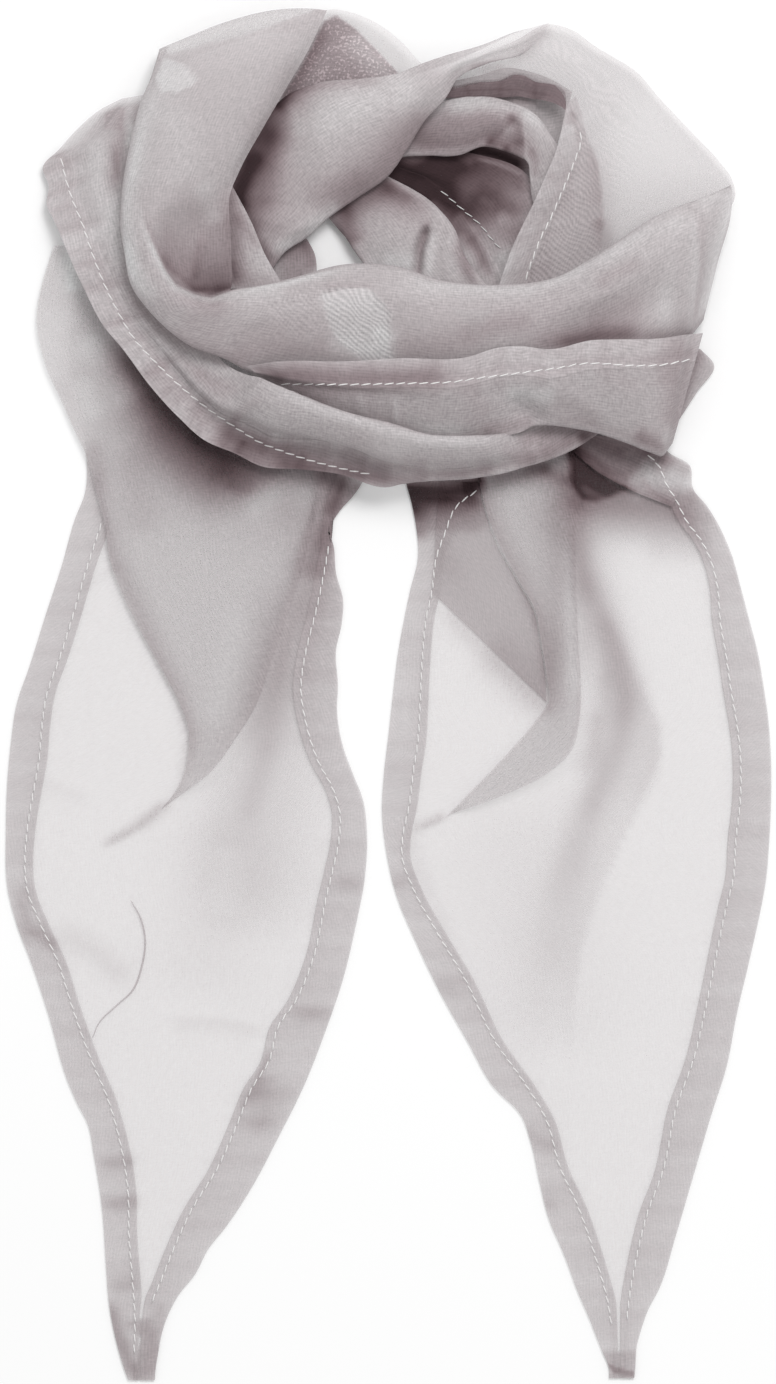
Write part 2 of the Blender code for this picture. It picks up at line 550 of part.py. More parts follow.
tail_object("tail_left", LEFT_TAIL)
tail_object("tail_right", RIGHT_TAIL)
roll_object("front_roll", FRONT_ROLL, ends=((0.6, 9 * MM), (0.3, 4 * MM)))
band_object("front_band", FRONT_BAND, ends=(None, (0.3, 4 * MM)))
band_object("lower_band", LOWER_BAND, along=1)
band_object("cross_strand", CROSS_STRAND, along=1)
band_object("top_loop", TOP_LOOP, along=1)
band_object("inner_roll", INNER_ROLL, along=1)
band_object("inner_strand", INNER_STRAND)
band_object("inner_back", INNER_BACK)
band_object("loop_back", LOOP_BACK, along=1, across=1)
band_object("top_back", TOP_BACK)
band_object("side_fold", SIDE_FOLD, along=1, across=1)
band_object("inner_fold", INNER_FOLD, along=1, across=1)
band_object("back_fold", BACK_FOLD, along=1, across=1)
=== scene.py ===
"""Looks for the chiffon scarf: thin sheer sheets, hems, stitches, soft folds, floor and light.

Plan positions are on the same layout grid as the solids: x to the right and y down the page,
0.28 mm a step. Heights in the tables are in millimetres above the floor. Every sheet is one
mesh that carries, at each vertex, how many layers of chiffon it stands for and the shade and
light painted on it.
"""

import math
from collections import namedtuple

import bmesh
import bpy
import numpy as np
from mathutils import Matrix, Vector
from mathutils.bvhtree import BVHTree


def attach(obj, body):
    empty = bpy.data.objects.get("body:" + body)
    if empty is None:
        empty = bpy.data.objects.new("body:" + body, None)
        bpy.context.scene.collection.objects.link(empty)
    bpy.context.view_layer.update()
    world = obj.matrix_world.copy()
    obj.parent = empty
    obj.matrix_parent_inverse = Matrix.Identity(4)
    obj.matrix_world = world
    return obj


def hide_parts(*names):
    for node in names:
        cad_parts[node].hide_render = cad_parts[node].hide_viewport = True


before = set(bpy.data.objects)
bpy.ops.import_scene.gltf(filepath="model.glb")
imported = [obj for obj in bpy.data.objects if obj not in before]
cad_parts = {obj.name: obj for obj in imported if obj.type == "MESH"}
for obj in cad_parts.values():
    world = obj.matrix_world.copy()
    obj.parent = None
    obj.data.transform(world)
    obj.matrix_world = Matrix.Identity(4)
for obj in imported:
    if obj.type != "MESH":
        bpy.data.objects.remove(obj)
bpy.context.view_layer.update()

MM = 0.001
GRID = 0.28 * MM  # one step of the layout grid
GRID_CENTRE = (388.5, 695.5)  # where on it the model's origin lies
ON_FLOOR = 0.1 * MM  # the least height of a layer of cloth
WELD = 0.002 * MM  # points nearer than this become one

PLAIN = -1  # the turn of an edge that has neither a roll nor a hem
FULL_ROLL = 3.0  # the turn in mm from which an edge is all roll
EDGE_MOST = 0.42  # the share of the width that an edge's roll or hem takes at most
EDGE_DEPTH = 9.0 * MM  # of a flat edge
UNDER = 0.8  # how far in the under side of a fold reaches, as a share of its depth
ROLL_UNDER = 2.5 * MM  # how far the front roll turns under, and how much lower it is there

HEM_MOST = 0.45  # the share of the width that a hem takes at most
HEM_TURN = 2.3 * MM  # from the stitching to the hem's inner edge
HEM_LEAST = HEM_TURN + MM  # a hem narrower than this is left out
HEM_RISE = 0.3 * MM  # of a hem above the cloth beside it
HEM_STEP = 0.15 * MM  # half the width of that rise
HEM_LAYERS = 3.0  # that a hem adds
HEM_BRINK = 0.8  # that its inner edge adds to these
BRINK_WIDTH = 0.5 * MM
DENT = 0.2 * MM  # how deep the stitching pulls in
DENT_SHADE = 0.10  # how much painted shade darkens the cloth along the stitching
DENT_WIDTH = 1.6 * MM
DENT_STEP = 0.5 * MM  # from the stitching to the points beside it
PUCKER_WIDTH = 5 * MM  # of the waves beside a hem
PUCKER_RISE = 3.0  # their height in mm, for a pucker of 1

# The tails, with distances in grid steps and heights in mm. Across one, every point has its x,
# its height, the layers that it stands for and its painted shade. A fold is where the pleat turns.
TAIL_ROWS = 3.0  # from one row of points to the next
TAIL_LOW = 0.25  # the height of the lowest layer
TAIL_SEEN = 45  # over how far the lower layer comes out from under the ring
TAIL_DRIFT = 150  # over how far below the pleat its line runs to the middle
TAIL_SETTLE = (2, 24)  # from and to how far past the pleat the top layer comes down
PLEAT_DEEP = 14.0  # from this depth a pleat stands to its full height
PLEAT_GAP = 0.8  # between the layers of a pleat
PLEAT_TURN = 1.6  # how far its fold and back round out
PLEAT_COVER = 8  # over how far past its fold the lower layer is covered
PLEAT_MORE = 0.8  # the layers that it adds to the top layer
FOLD_THIN = 0.75  # the layers that its fold lacks
FOLD_GLOW = ((45, 0.15), (90, 0.45), (135, 0.3))  # degrees round it, and how much painted light brightens the fold there
HEM_MEET = 0.4  # what a hem takes past its stitching, as a share of the cloth between both
HEM_NEAR = 12  # how far from a hem its puckers show
# The points beside a hem: how far from it, and at most what share of the room up to the pleat.
BESIDE_HEM = ((0.3, 0.1), (5, 0.3), (HEM_NEAR, 0.6))
WAVE_RISE = 0.1  # how high the puckers beside the near hem stand
NEAR_WAVE = (0.055, 0.03, 0.015)  # painted shade and light on the near hem, beside it and further in
FAR_WAVE = 0.05  # and the far one
LOWER, MIDDLE, OVER, BEYOND = 24, 30, 24, 38  # points across each layer
SINGLE = 1.1  # the layers of cloth that lies single
COVERED = 0.3  # the layers that still show of cloth under other cloth
HEMMED = 2.6  # more layers than this are a hem
# Height over the lowest layer, layers and painted shade across the near hem from its outer edge
# in, and across the far hem from its inner edge out.
NEAR_HEM = ((0.20, 3.0, 0), (0.28, 2.7, 0), (0.28, 2.7, 0), (0.28, 2.7, 0.04), (0.12, 2.7, 0.10),
            (0.28, 2.8, 0.04), (0.28, 3.5, 0.02), (0.28, 3.5, 0.04))
FAR_HEM = ((0.28, 3.5, 0.04), (0.28, 3.5, 0.02), (0.28, 2.8, 0.04), (0.28, 2.8, 0.10),
           (0.28, 2.8, 0.04), (0.28, 2.8, 0), (0.28, 2.8, 0), (0.28, 2.8, 0))

STITCH_START = 0.14  # the share of a stitch's step before its thread comes up
STITCH_SHARE = 0.80  # the share that its thread shows
STITCH_SLANT = math.tan(math.radians(8.0))
STITCH_FLAT = 0.8  # its height as a share of its width
STITCH_SUNK = 0.06  # how deep in mm its ends lie in the cloth
STOPS, SIDES = 5, 6  # the points along a stitch and round it

STROKE_END = 0.22  # the share of a stroke that fades at each end
STROKE_LEFT = 0.08  # what is left of it at the very end
SHADE_RANGE = (0.08, 1.6)  # the deepest and the lightest painted shade
SHADE_VEIL = 2.6  # how much denser cloth with painted shade is made
LEAST_LAYERS = 0.05
FOLD_SINK = 3 * MM  # a trough this deep lays the cloth on the floor
LEAST_HEIGHT = 0.05  # what is left of its height there
LAYER_THROUGH = 0.75  # the light that gets through one layer of chiffon
CHIFFON_DEEP = (0.47, 0.432, 0.44)  # the colour of many layers
SHADE_POWER = (1.0, 1.2, 1.16)  # painted shade dims green and blue more, towards mauve
TWILL = 0.9 * MM  # between the lines of the twill
TWILL_SCALE = 2 * math.pi / (20 * TWILL)  # as the wave texture counts it

FLOOR_HALF = 3.0  # half the floor's width, m
FLOOR_TOP = -0.3 * MM
FRAME_CENTRE = (388.0, 692.0)  # of the photo's frame, on the layout grid
FRAME_HEIGHT = 1384  # grid steps
CAMERA_HEIGHT = 3.0  # m
SENSOR = 24.0  # mm

# One row across a stretch. A Band has its two edges (x, y), each with its height and how deep it
# turns under, both in mm, and how far its middle stands up. A Roll has points (x, y, height).
Band = namedtuple("Band", "edge z turn far far_z far_turn crown")
Roll = namedtuple("Roll", "inner dip lip crest outer")
# An outline and the width of its soft edge in grid steps. Inside, the cloth has so many layers,
# unless they are 0, and it is so much darker with painted shade, or lighter with painted light
# below 0, striped with moire and specked with painted glints.
Area = namedtuple("Area", "outline soft layers dark moire glint", defaults=(0.0, 0.0))

# ---------------------------------------------------------------- the shape of each stretch

FRONT_ROLL = [
    Roll((327, 12, 10), (316, 11, 12), (286, 11, 13), (220, 26, 12), (160, 50, 7)),
    Roll((311, 48, 11), (302, 48, 14), (266, 50, 17), (210, 62, 17), (153, 76, 7.5)),
    Roll((288, 88, 11), (280, 88, 14.5), (250, 89, 18.5), (200, 95, 19.5), (142, 104, 9)),
    Roll((263, 131, 11.5), (256, 130, 15), (230, 128, 19), (188, 129, 20.5), (133, 140, 10.5)),
    Roll((241, 171, 12), (234, 170, 15), (212, 166, 18.5), (176, 165, 20.5), (126, 173, 11.5)),
    Roll((230, 200, 13), (220, 200, 14), (198, 199, 17), (163, 197, 20.5), (123, 200, 12)),
    Roll((231, 231, 12.5), (205, 231, 12), (174, 228, 16), (148, 226, 20.5), (122, 227, 12.5)),
    Roll((232, 262, 12), (202, 264, 11), (170, 257, 15), (149, 252, 20.5), (126, 254, 13)),
    Roll((232, 288, 11.5), (206, 288, 10.5), (180, 283, 15), (161, 280, 21), (133, 288, 14)),
    Roll((226, 303, 11), (208, 304, 11), (197, 296, 16), (181, 302, 21.5), (148, 310, 15)),
    Roll((217, 318, 11), (215, 308, 12.5), (212, 299, 17), (205, 311, 22), (165, 328, 16)),
    Roll((240, 314, 11), (235, 302, 13), (232, 292, 17), (230, 306, 22.5), (190, 347, 16.5)),
    Roll((268, 311, 11), (262, 299, 13), (260, 288, 17), (262, 304, 22.5), (224, 360, 16.5)),
    Roll((302, 303, 11), (298, 290, 13), (297, 279, 17), (300, 298, 23), (262, 380, 14.5)),
    Roll((345, 291, 11), (342, 277, 13), (342, 267, 17), (345, 287, 23), (325, 402, 12)),
    Roll((395, 292, 11), (393, 278, 13), (393, 268, 17), (395, 289, 23), (390, 410, 12)),
    Roll((445, 308, 11), (443, 293, 13), (443, 283, 17), (445, 304, 23), (445, 412, 12)),
    Roll((500, 312, 11), (500, 297, 13), (500, 287, 17), (500, 307, 23), (505, 410, 12)),
    Roll((560, 304, 10.5), (556, 289, 13), (553, 280, 17), (560, 300, 22.5), (570, 400, 11.5)),
    Roll((615, 277, 10), (606, 262, 12), (602, 253, 16), (612, 276, 22), (628, 390, 10.5)),
    Roll((666, 245, 9.5), (660, 228, 11), (657, 217, 14.5), (664, 242, 19.5), (668, 364, 8)),
    Roll((706, 226, 8.5), (704, 209, 9.5), (703, 199, 12), (706, 226, 15), (688, 340, 5.2)),
    Roll((721, 214, 6), (727, 200, 6), (730, 186, 6.5), (731, 207, 8), (703, 320, 4.2)),
]

FRONT_BAND = [
    Band((248, 368), 19.2, 0, (266, 384), 16.6, PLAIN, 0.1),
    Band((280, 364), 23.3, 0, (302, 405), 18.0, PLAIN, 0.6),
    Band((345, 364), 23.6, 0, (350, 421), 17.5, PLAIN, 1.6),
    Band((400, 361), 23.8, 0, (401, 434), 17.0, PLAIN, 2.0),
    Band((465, 360), 23.6, 0, (461, 444), 16.5, PLAIN, 2.4),
    Band((500, 350), 23.8, 0, (500, 438), 15.8, PLAIN, 2.4),
    Band((520, 349), 23.7, 0, (521, 434), 16.0, 1, 2.4),
    Band((548, 352), 23.4, 0, (548, 427), 17.0, 3, 2.4),
    Band((590, 343), 23.0, 0, (588, 433), 16.0, 4, 2.5),
    Band((622, 342), 22.0, 0, (622, 443), 15.0, 4, 2.5),
    Band((655, 341), 19.8, 0, (650, 454), 13.0, 4, 2.5),
    Band((682, 337), 16.5, 0, (662, 457), 9.5, 4, 2.0),
    Band((702, 334), 10.8, 0, (672, 444), 7.0, 3, 1.0),
]

LOWER_BAND = [
    Band((122, 99), 1.8, 0, (147, 95), 2.4, PLAIN, 0.1),
    Band((99, 111), 1.8, 0, (148, 101), 3.0, PLAIN, 0.5),
    Band((78, 129), 1.8, 0, (149, 108), 3.6, PLAIN, 0.9),
    Band((59, 150), 1.8, 0, (150, 116), 4.2, PLAIN, 1.2),
    Band((43, 168), 2.0, 0, (150, 125), 4.8, PLAIN, 1.4),
    Band((49, 186), 2.5, 0, (150, 138), 5.3, PLAIN, 1.4),
    Band((47, 205), 3.5, 0, (150, 157), 6.0, PLAIN, 1.2),
    Band((54, 220), 5.0, 0, (148, 185), 6.8, PLAIN, 0.9),
    Band((62, 238), 6.5, 0, (150, 215), 7.4, PLAIN, 0.6),
    Band((72, 262), 8.0, 0, (152, 245), 8.0, PLAIN, 0.5),
    Band((85, 290), 9.0, 0, (160, 275), 8.8, PLAIN, 0.5),
    Band((103, 325), 9.5, 0, (172, 305), 9.8, PLAIN, 0.6),
    Band((125, 352), 9.7, 0, (188, 328), 11.0, PLAIN, 0.8),
    Band((150, 386), 9.7, 0, (208, 346), 12.0, PLAIN, 1.2),
    Band((180, 419), 9.5, 0, (227, 366), 14.5, PLAIN, 2.0),
    Band((205, 441), 9.5, 0, (246, 376), 18.0, PLAIN, 2.6),
    Band((235, 454), 9.5, 0, (265, 379), 23.0, 1.5, 2.6),
    Band((262, 467), 9.5, 0, (288, 390), 24.3, 2.2, 2.8),
    Band((300, 470), 10.0, 0, (315, 402), 24.5, 3, 3.0),
    Band((340, 475), 10.0, 0, (348, 414), 24.5, 3, 3.2),
    Band((385, 489), 10.0, 1, (388, 424), 24.0, 3, 3.2),
    Band((430, 482), 11.4, 3, (430, 436), 23.5, 3, 3.0),
    Band((475, 479), 11.6, 4, (472, 437), 23.0, 3, 3.0),
    Band((508, 473), 11.6, 4, (500, 433), 17.5, 1.5, 1.8),
    Band((524, 468), 11.6, 4, (516, 428), 13.2, 1, 1.0),
    Band((542, 463), 11.2, 4, (535, 421), 10.8, PLAIN, 0.6),
    Band((570, 452), 10.0, 3, (563, 404), 9.4, PLAIN, 0.5),
    Band((600, 434), 8.0, 2, (593, 396), 8.0, PLAIN, 0.3),
]

CROSS_STRAND = [
    Band((549, 24), 5.5, PLAIN, (542, 37), 5.5, PLAIN, 0.2),
    Band((515, 32), 6.5, 1.5, (523, 56), 6.5, 1, 0.8),
    Band((482, 46), 8.5, 2, (484, 67), 8.5, 2, 1.5),
    Band((446, 57), 10.0, 3, (458, 80), 10.0, 3, 2.0),
    Band((423, 65), 11.0, 3, (447, 98), 11.5, 3, 2.5),
    Band((398, 75), 11.0, 3, (424, 124), 11.0, 4, 3.0),
    Band((362, 80), 10.0, 3, (405, 155), 10.0, 4, 4.0),
    Band((325, 83), 9.5, 3, (388, 178), 9.0, 3, 4.0),
    Band((288, 94), 8.5, 2, (358, 199), 8.0, 3, 3.5),
    Band((264, 116), 7.5, 2, (330, 218), 7.5, 3, 3.0),
    Band((244, 144), 7.0, 2, (308, 238), 6.8, 3, 2.5),
    Band((229, 178), 6.8, 2, (285, 254), 6.5, 2.5, 1.6),
    Band((214, 217), 6.5, 1.5, (272, 274), 6.0, 2, 1.0),
    Band((198, 264), 6.0, 1, (262, 294), 5.8, 1, 0.5),
]

TOP_LOOP = [
    Band((453, 90), 4.2, 0.5, (456, 72), 4.6, 0.5, 0.0),
    Band((478, 85), 4.2, 1, (484, 54), 4.6, 1, 0.2),
    Band((500, 83), 4.2, 1, (516, 40), 4.0, 1, 0.4),
    Band((516, 77), 4.2, 1, (549, 24), 3.4, 1, 0.8),
    Band((536, 83), 4.6, 1, (575, 31), 3.0, 1, 1.0),
    Band((555, 88), 5.6, 0.6, (594, 45), 2.8, 1, 1.1),
    Band((565, 102), 7.2, 0, (614, 57), 2.6, 1, 1.4),
    Band((562, 126), 8.5, 0, (635, 70), 2.6, 1, 1.5),
    Band((557, 148), 9.0, 0, (660, 98), 2.6, 1, 2.0),
    Band((544, 180), 9.0, 0, (692, 132), 2.6, 1, 2.2),
    Band((531, 209), 8.8, 0, (721, 163), 2.6, 1, 2.0),
    Band((522, 227), 8.5, 0, (732, 178), 2.4, 1, 1.4),
    Band((514, 244), 8.3, 0, (736, 195), 2.2, 1, 0.8),
    Band((502, 276), 7.8, 0, (727, 216), 2.2, 1, 0.0),
    Band((494, 304), 7.2, 0, (708, 296), 2.2, 1, 0.0),
]

INNER_ROLL = [
    Band((438, 102), 5.0, 1.5, (398, 160), 5.0, 1.5, 1.0),
    Band((456, 98), 6.0, 2, (428, 158), 5.8, 2, 1.5),
    Band((476, 97), 6.8, 2.5, (459, 157), 6.8, 2.5, 1.8),
    Band((498, 99), 7.0, 2.5, (482, 149), 6.8, 2, 1.3),
    Band((514, 104), 7.0, 2.5, (500, 153), 6.6, 1.5, 0.7),
    Band((530, 111), 7.0, 2.5, (514, 158), 6.6, 1.5, 0.5),
    Band((545, 125), 6.7, 2, (526, 165), 6.6, 1.5, 0.4),
    Band((560, 148), 6.4, 1, (528, 180), 6.2, 1.5, 0.3),
    Band((572, 175), 6.0, 1, (530, 196), 5.8, 1.2, 0.2),
    Band((576, 200), 5.6, 1, (534, 210), 5.6, 1, 0.1),
]

INNER_STRAND = [
    Band((312, 200), 3.4, 1, (379, 171), 4.2, 1, 0.4),
    Band((338, 232), 4.0, 1.5, (438, 206), 5.4, 1.5, 1.0),
    Band((350, 248), 4.5, 2, (456, 228), 5.8, 1.5, 1.5),
    Band((362, 265), 4.5, 2, (467, 256), 5.8, 1.5, 1.5),
    Band((380, 298), 4.5, 1.5, (494, 292), 5.4, 1.5, 1.5),
]

INNER_BACK = [
    Band((372, 182), 1.2, 0, (398, 138), 2.2, PLAIN, 0.3),
    Band((392, 192), 1.4, 0, (430, 146), 2.9, 0.5, 0.4),
    Band((412, 206), 1.7, 0, (470, 153), 3.1, 0.5, 0.5),
    Band((430, 226), 1.8, 0, (526, 174), 3.4, 0.5, 0.6),
    Band((450, 250), 1.8, 0, (546, 215), 3.2, 0.5, 0.5),
    Band((468, 278), 1.7, 0, (552, 262), 3.0, PLAIN, 0.4),
    Band((478, 296), 1.7, 0, (554, 293), 2.5, PLAIN, 0.2),
]

LOOP_BACK = [
    Band((436, 168), 0.7, PLAIN, (448, 82), 0.9, PLAIN, 0.2),
    Band((464, 178), 0.7, PLAIN, (478, 76), 1.0, PLAIN, 0.3),
    Band((492, 186), 0.7, PLAIN, (508, 68), 1.2, PLAIN, 0.3),
    Band((516, 190), 0.7, PLAIN, (530, 72), 1.2, PLAIN, 0.3),
    Band((534, 184), 0.7, PLAIN, (552, 80), 1.0, PLAIN, 0.3),
    Band((552, 164), 0.7, PLAIN, (572, 92), 0.9, PLAIN, 0.2),
]

TOP_BACK = [
    Band((300, 16), 2.2, 0, (272, 112), 3.5, 0, 0.2),
    Band((335, 9), 2.4, 1, (300, 104), 4.0, 0, 0.6),
    Band((370, 19), 3.0, 1, (348, 98), 5.0, 0, 1.0),
    Band((403, 43), 4.0, 1, (396, 98), 5.5, 0, 0.8),
    Band((422, 64), 5.5, 1, (424, 98), 6.0, 0, 0.3),
    Band((440, 74), 6.5, 1, (442, 94), 6.5, 0, 0.2),
]

SIDE_FOLD = [
    Band((636, 352), 1.8, PLAIN, (700, 349), 0.7, PLAIN, 0.0),
    Band((630, 370), 2.2, PLAIN, (714, 365), 0.7, PLAIN, 0.2),
    Band((622, 394), 2.8, PLAIN, (697, 392), 0.7, PLAIN, 0.2),
    Band((614, 416), 3.1, PLAIN, (677, 423), 0.7, PLAIN, 0.0),
]

INNER_FOLD = [
    Band((227, 188), 10.8, PLAIN, (232, 186), 10.8, PLAIN, 0.0),
    Band((229, 226), 10.4, PLAIN, (252, 224), 10.2, PLAIN, 0.3),
    Band((230, 258), 9.8, PLAIN, (266, 257), 9.2, PLAIN, 0.6),
    Band((231, 290), 9.4, PLAIN, (284, 287), 8.8, PLAIN, 0.6),
]

BACK_FOLD = [
    Band((270, 240), 2.6, PLAIN, (307, 239), 2.0, PLAIN, 0.2),
    Band((264, 258), 2.6, PLAIN, (315, 255), 2.0, PLAIN, 0.4),
    Band((262, 276), 2.6, PLAIN, (317, 274), 2.0, PLAIN, 0.4),
    Band((262, 291), 2.6, PLAIN, (317, 299), 2.2, PLAIN, 0.2),
]

# ------------------------------------------------------------------ lines on the two tails

LEFT = {
    "edge": [(80, 246), (72, 296), (70, 366), (82, 420), (86, 450), (85, 493), (75, 519), (62, 565),
             (47, 611), (29, 668), (17, 703), (11, 743), (7, 789), (6, 829), (8, 891), (17, 925),
             (31, 962), (48, 1013), (68, 1082), (78, 1105), (87, 1122), (94, 1156), (102, 1208),
             (106, 1265), (109, 1303), (116, 1340), (126, 1374), (129, 1382)],
    "stitch": [(92, 246), (90, 330), (100, 420), (106, 500), (102, 522), (86, 571), (72, 619),
               (60, 657), (47, 694), (42, 726), (39, 760), (33, 794), (27, 832), (25, 858),
               (27, 888), (41, 925), (58, 962), (71, 1003), (89, 1054), (109, 1102), (121, 1146),
               (128, 1190), (129, 1235), (133, 1286), (135, 1320), (134, 1354), (134, 1382)],
    "fold": [(60, 233), (52, 255), (43, 285), (38, 310), (38, 330), (42, 350), (50, 375), (62, 400),
             (75, 430), (86, 453), (100, 502), (106, 525), (110, 556), (123, 594), (143, 634),
             (165, 674), (181, 705), (189, 728), (189, 754), (181, 783), (161, 809), (135, 829),
             (112, 843), (104, 856), (110, 900), (126, 960), (138, 1060), (143, 1130),
             (141, 1250), (139, 1320), (139, 1382)],
    "back": [(180, 246), (290, 310), (325, 400), (322, 480), (308, 540), (296, 585), (270, 660),
             (253, 708), (235, 737), (207, 774), (184, 792), (161, 809), (131, 829), (106, 843),
             (96, 856), (102, 900), (118, 960), (132, 1060), (138, 1130), (137, 1250), (136, 1320),
             (137, 1382)],
    "far_stitch": [(190, 246), (300, 300), (322, 330), (342, 380), (352, 420), (346, 470),
                   (333, 510), (329, 545), (324, 573), (316, 611), (306, 651), (301, 688),
                   (306, 723), (319, 763), (333, 789), (340, 814), (339, 840), (333, 869),
                   (327, 894), (313, 959), (296, 1000), (278, 1027), (269, 1061), (252, 1088),
                   (238, 1122), (218, 1167), (191, 1211), (174, 1248), (160, 1283), (150, 1306),
                   (145, 1340), (145, 1382)],
    "far": [(205, 246), (310, 290), (330, 328), (352, 356), (368, 392), (372, 430), (368, 466),
            (362, 483), (354, 495), (339, 512), (330, 529), (334, 548), (336, 573), (343, 599),
            (342, 622), (336, 651), (338, 688), (337, 708), (342, 743), (353, 774), (363, 800),
            (367, 832), (365, 877), (356, 925), (344, 976), (327, 1027), (303, 1088), (279, 1136),
            (252, 1187), (225, 1228), (209, 1248), (194, 1276), (180, 1293), (165, 1323),
            (158, 1354), (155, 1378), (155, 1382)],
}

RIGHT = {
    "edge": [(384, 301), (394, 366), (402, 440), (406, 482), (412, 505), (418, 545), (418, 556),
             (410, 591), (403, 625), (397, 660), (393, 694), (389, 731), (384, 774), (382, 812),
             (386, 850), (396, 894), (416, 942), (442, 996), (469, 1044), (492, 1085), (522, 1117),
             (531, 1143), (539, 1180), (551, 1225), (560, 1245), (568, 1265), (577, 1290),
             (587, 1313), (602, 1351), (609, 1368), (609, 1380)],
    "stitch": [(450, 301), (470, 400), (478, 490), (456, 507), (445, 533), (436, 559), (432, 591),
               (426, 619), (422, 665), (420, 705), (418, 740), (413, 774), (409, 806), (403, 835),
               (402, 855), (413, 888), (437, 932), (465, 979), (495, 1041), (526, 1085),
               (546, 1119), (560, 1167), (577, 1204), (597, 1262), (608, 1303), (612, 1330),
               (615, 1380)],
    "fold": [(430, 301), (452, 400), (479, 477), (486, 507), (499, 545), (520, 582), (537, 614),
             (541, 637), (548, 680), (550, 700), (537, 720), (505, 757), (471, 792), (445, 817),
             (424, 828), (420, 850), (432, 890), (452, 940), (478, 1000), (515, 1070), (560, 1150),
             (592, 1240), (608, 1310), (619, 1380)],
    "back": [(560, 301), (572, 400), (575, 500), (574, 553), (576, 631), (578, 717), (571, 749),
             (548, 772), (505, 794), (448, 815), (416, 828), (413, 850), (426, 890), (446, 940),
             (472, 1000), (509, 1070), (554, 1150), (588, 1240), (606, 1310), (618, 1380)],
    "far_stitch": [(590, 301), (610, 380), (630, 430), (647, 454), (659, 467), (666, 484),
                   (677, 502), (687, 522), (700, 539), (709, 556), (718, 591), (720, 620),
                   (726, 655), (731, 690), (737, 725), (740, 750), (741, 780), (740, 803),
                   (736, 838), (733, 880), (727, 904), (717, 952), (708, 996), (693, 1061),
                   (677, 1105), (662, 1174), (648, 1211), (637, 1255), (630, 1293), (626, 1327),
                   (623, 1380)],
    "far": [(610, 301), (632, 380), (652, 424), (668, 452), (690, 466), (693, 489), (706, 505),
            (720, 528), (732, 556), (740, 585), (749, 619), (758, 654), (763, 683), (768, 717),
            (771, 760), (771, 803), (769, 846), (766, 880), (761, 908), (749, 962), (737, 1013),
            (727, 1065), (711, 1116), (693, 1177), (676, 1235), (659, 1289), (648, 1310),
            (641, 1330), (637, 1345), (635, 1371), (634, 1380)],
}

# ------------------------------------------------------------------------- small helpers


def plan(x, y, height=0.0):
    """The point of the model at a layout grid position, height millimetres above the floor."""
    return np.array([(x - GRID_CENTRE[0]) * GRID, (GRID_CENTRE[1] - y) * GRID, height * MM])


def grid_xy(points):
    """The layout grid positions of points of the model."""
    x = points[:, 0] / GRID + GRID_CENTRE[0]
    return np.stack([x, GRID_CENTRE[1] - points[:, 1] / GRID], axis=-1)


def soft_step(value, low, high):
    """0 up to low, 1 from high, smooth between."""
    s = np.clip((value - low) / (high - low), 0.0, 1.0)
    return s * s * (3 - 2 * s)


def bell(value, width):
    """1 at 0, fading to both sides."""
    return np.exp(-((value / width) ** 2))


def curve_through(points, steps):
    """Points along a smooth curve through the given ones, steps from each to the next."""
    points = np.asarray(points, float)
    reach = np.maximum(np.linalg.norm(np.diff(points, axis=0), axis=1), 1e-9)[:, None]
    slope = np.diff(points, axis=0) / reach
    tangent = np.empty_like(points)
    tangent[0], tangent[-1] = slope[0], slope[-1]
    weighted = slope[:-1] * reach[1:] + slope[1:] * reach[:-1]
    tangent[1:-1] = weighted / (reach[:-1] + reach[1:])
    s = (np.arange(1, steps + 1) / steps)[:, None]
    rise = s * s * (3 - 2 * s)
    pieces = [points[:1]]
    for i in range(len(points) - 1):
        leave = s * (1 - s) ** 2 * reach[i] * tangent[i]
        arrive = -s * s * (1 - s) * reach[i] * tangent[i + 1]
        pieces.append(points[i] * (1 - rise) + points[i + 1] * rise + leave + arrive)
    return np.concatenate(pieces)


def lengths(curve):
    """The distance along a curve to each of its points."""
    steps = np.linalg.norm(np.diff(curve, axis=0), axis=1)
    return np.concatenate([[0.0], np.cumsum(steps)])


def at_lengths(curve, where):
    """Points of a curve at the given distances along it."""
    run = lengths(curve)
    return np.stack([np.interp(where, run, curve[:, k]) for k in range(curve.shape[1])], axis=1)


def nearest_on(xy, line):
    """Distance, side (+ to the left) and share along, from grid positions to a grid line."""
    line = np.asarray(line, float)
    run = lengths(line)
    best = np.full(len(xy), np.inf)
    side = np.ones(len(xy))
    share = np.zeros(len(xy))
    for i in range(len(line) - 1):
        span = line[i + 1] - line[i]
        t = np.clip(((xy - line[i]) @ span) / max(span @ span, 1e-9), 0.0, 1.0)
        gap = xy - (line[i] + t[:, None] * span)
        far = np.linalg.norm(gap, axis=1)
        closer = far < best
        best = np.where(closer, far, best)
        cross = span[0] * gap[:, 1] - span[1] * gap[:, 0]
        side = np.where(closer, np.where(cross <= 0, 1.0, -1.0), side)
        share = np.where(closer, (run[i] + t * (run[i + 1] - run[i])) / run[-1], share)
    return best, side, share


def strokes_at(xy, strokes):
    """The sum of soft strokes at grid positions, each fading to its sides and its ends."""
    total = np.zeros(len(xy))
    for left, right, amount, *line in strokes:
        far, side, share = nearest_on(xy, np.reshape(line, (-1, 2)))
        fade = bell(far, np.where(side > 0, left, right))
        ends = soft_step(share, 0.0, STROKE_END) * soft_step(1 - share, 0.0, STROKE_END)
        total += amount * fade * (STROKE_LEFT + (1 - STROKE_LEFT) * ends)
    return total


def inside(xy, outline):
    """Whether grid positions lie inside an outline."""
    x, y = xy.T
    flag = np.zeros(len(xy), bool)
    for (x0, y0), (x1, y1) in zip(outline, outline[1:] + outline[:1]):
        if y0 != y1:
            flag ^= ((y0 > y) != (y1 > y)) & (x < (x1 - x0) * (y - y0) / (y1 - y0) + x0)
    return flag


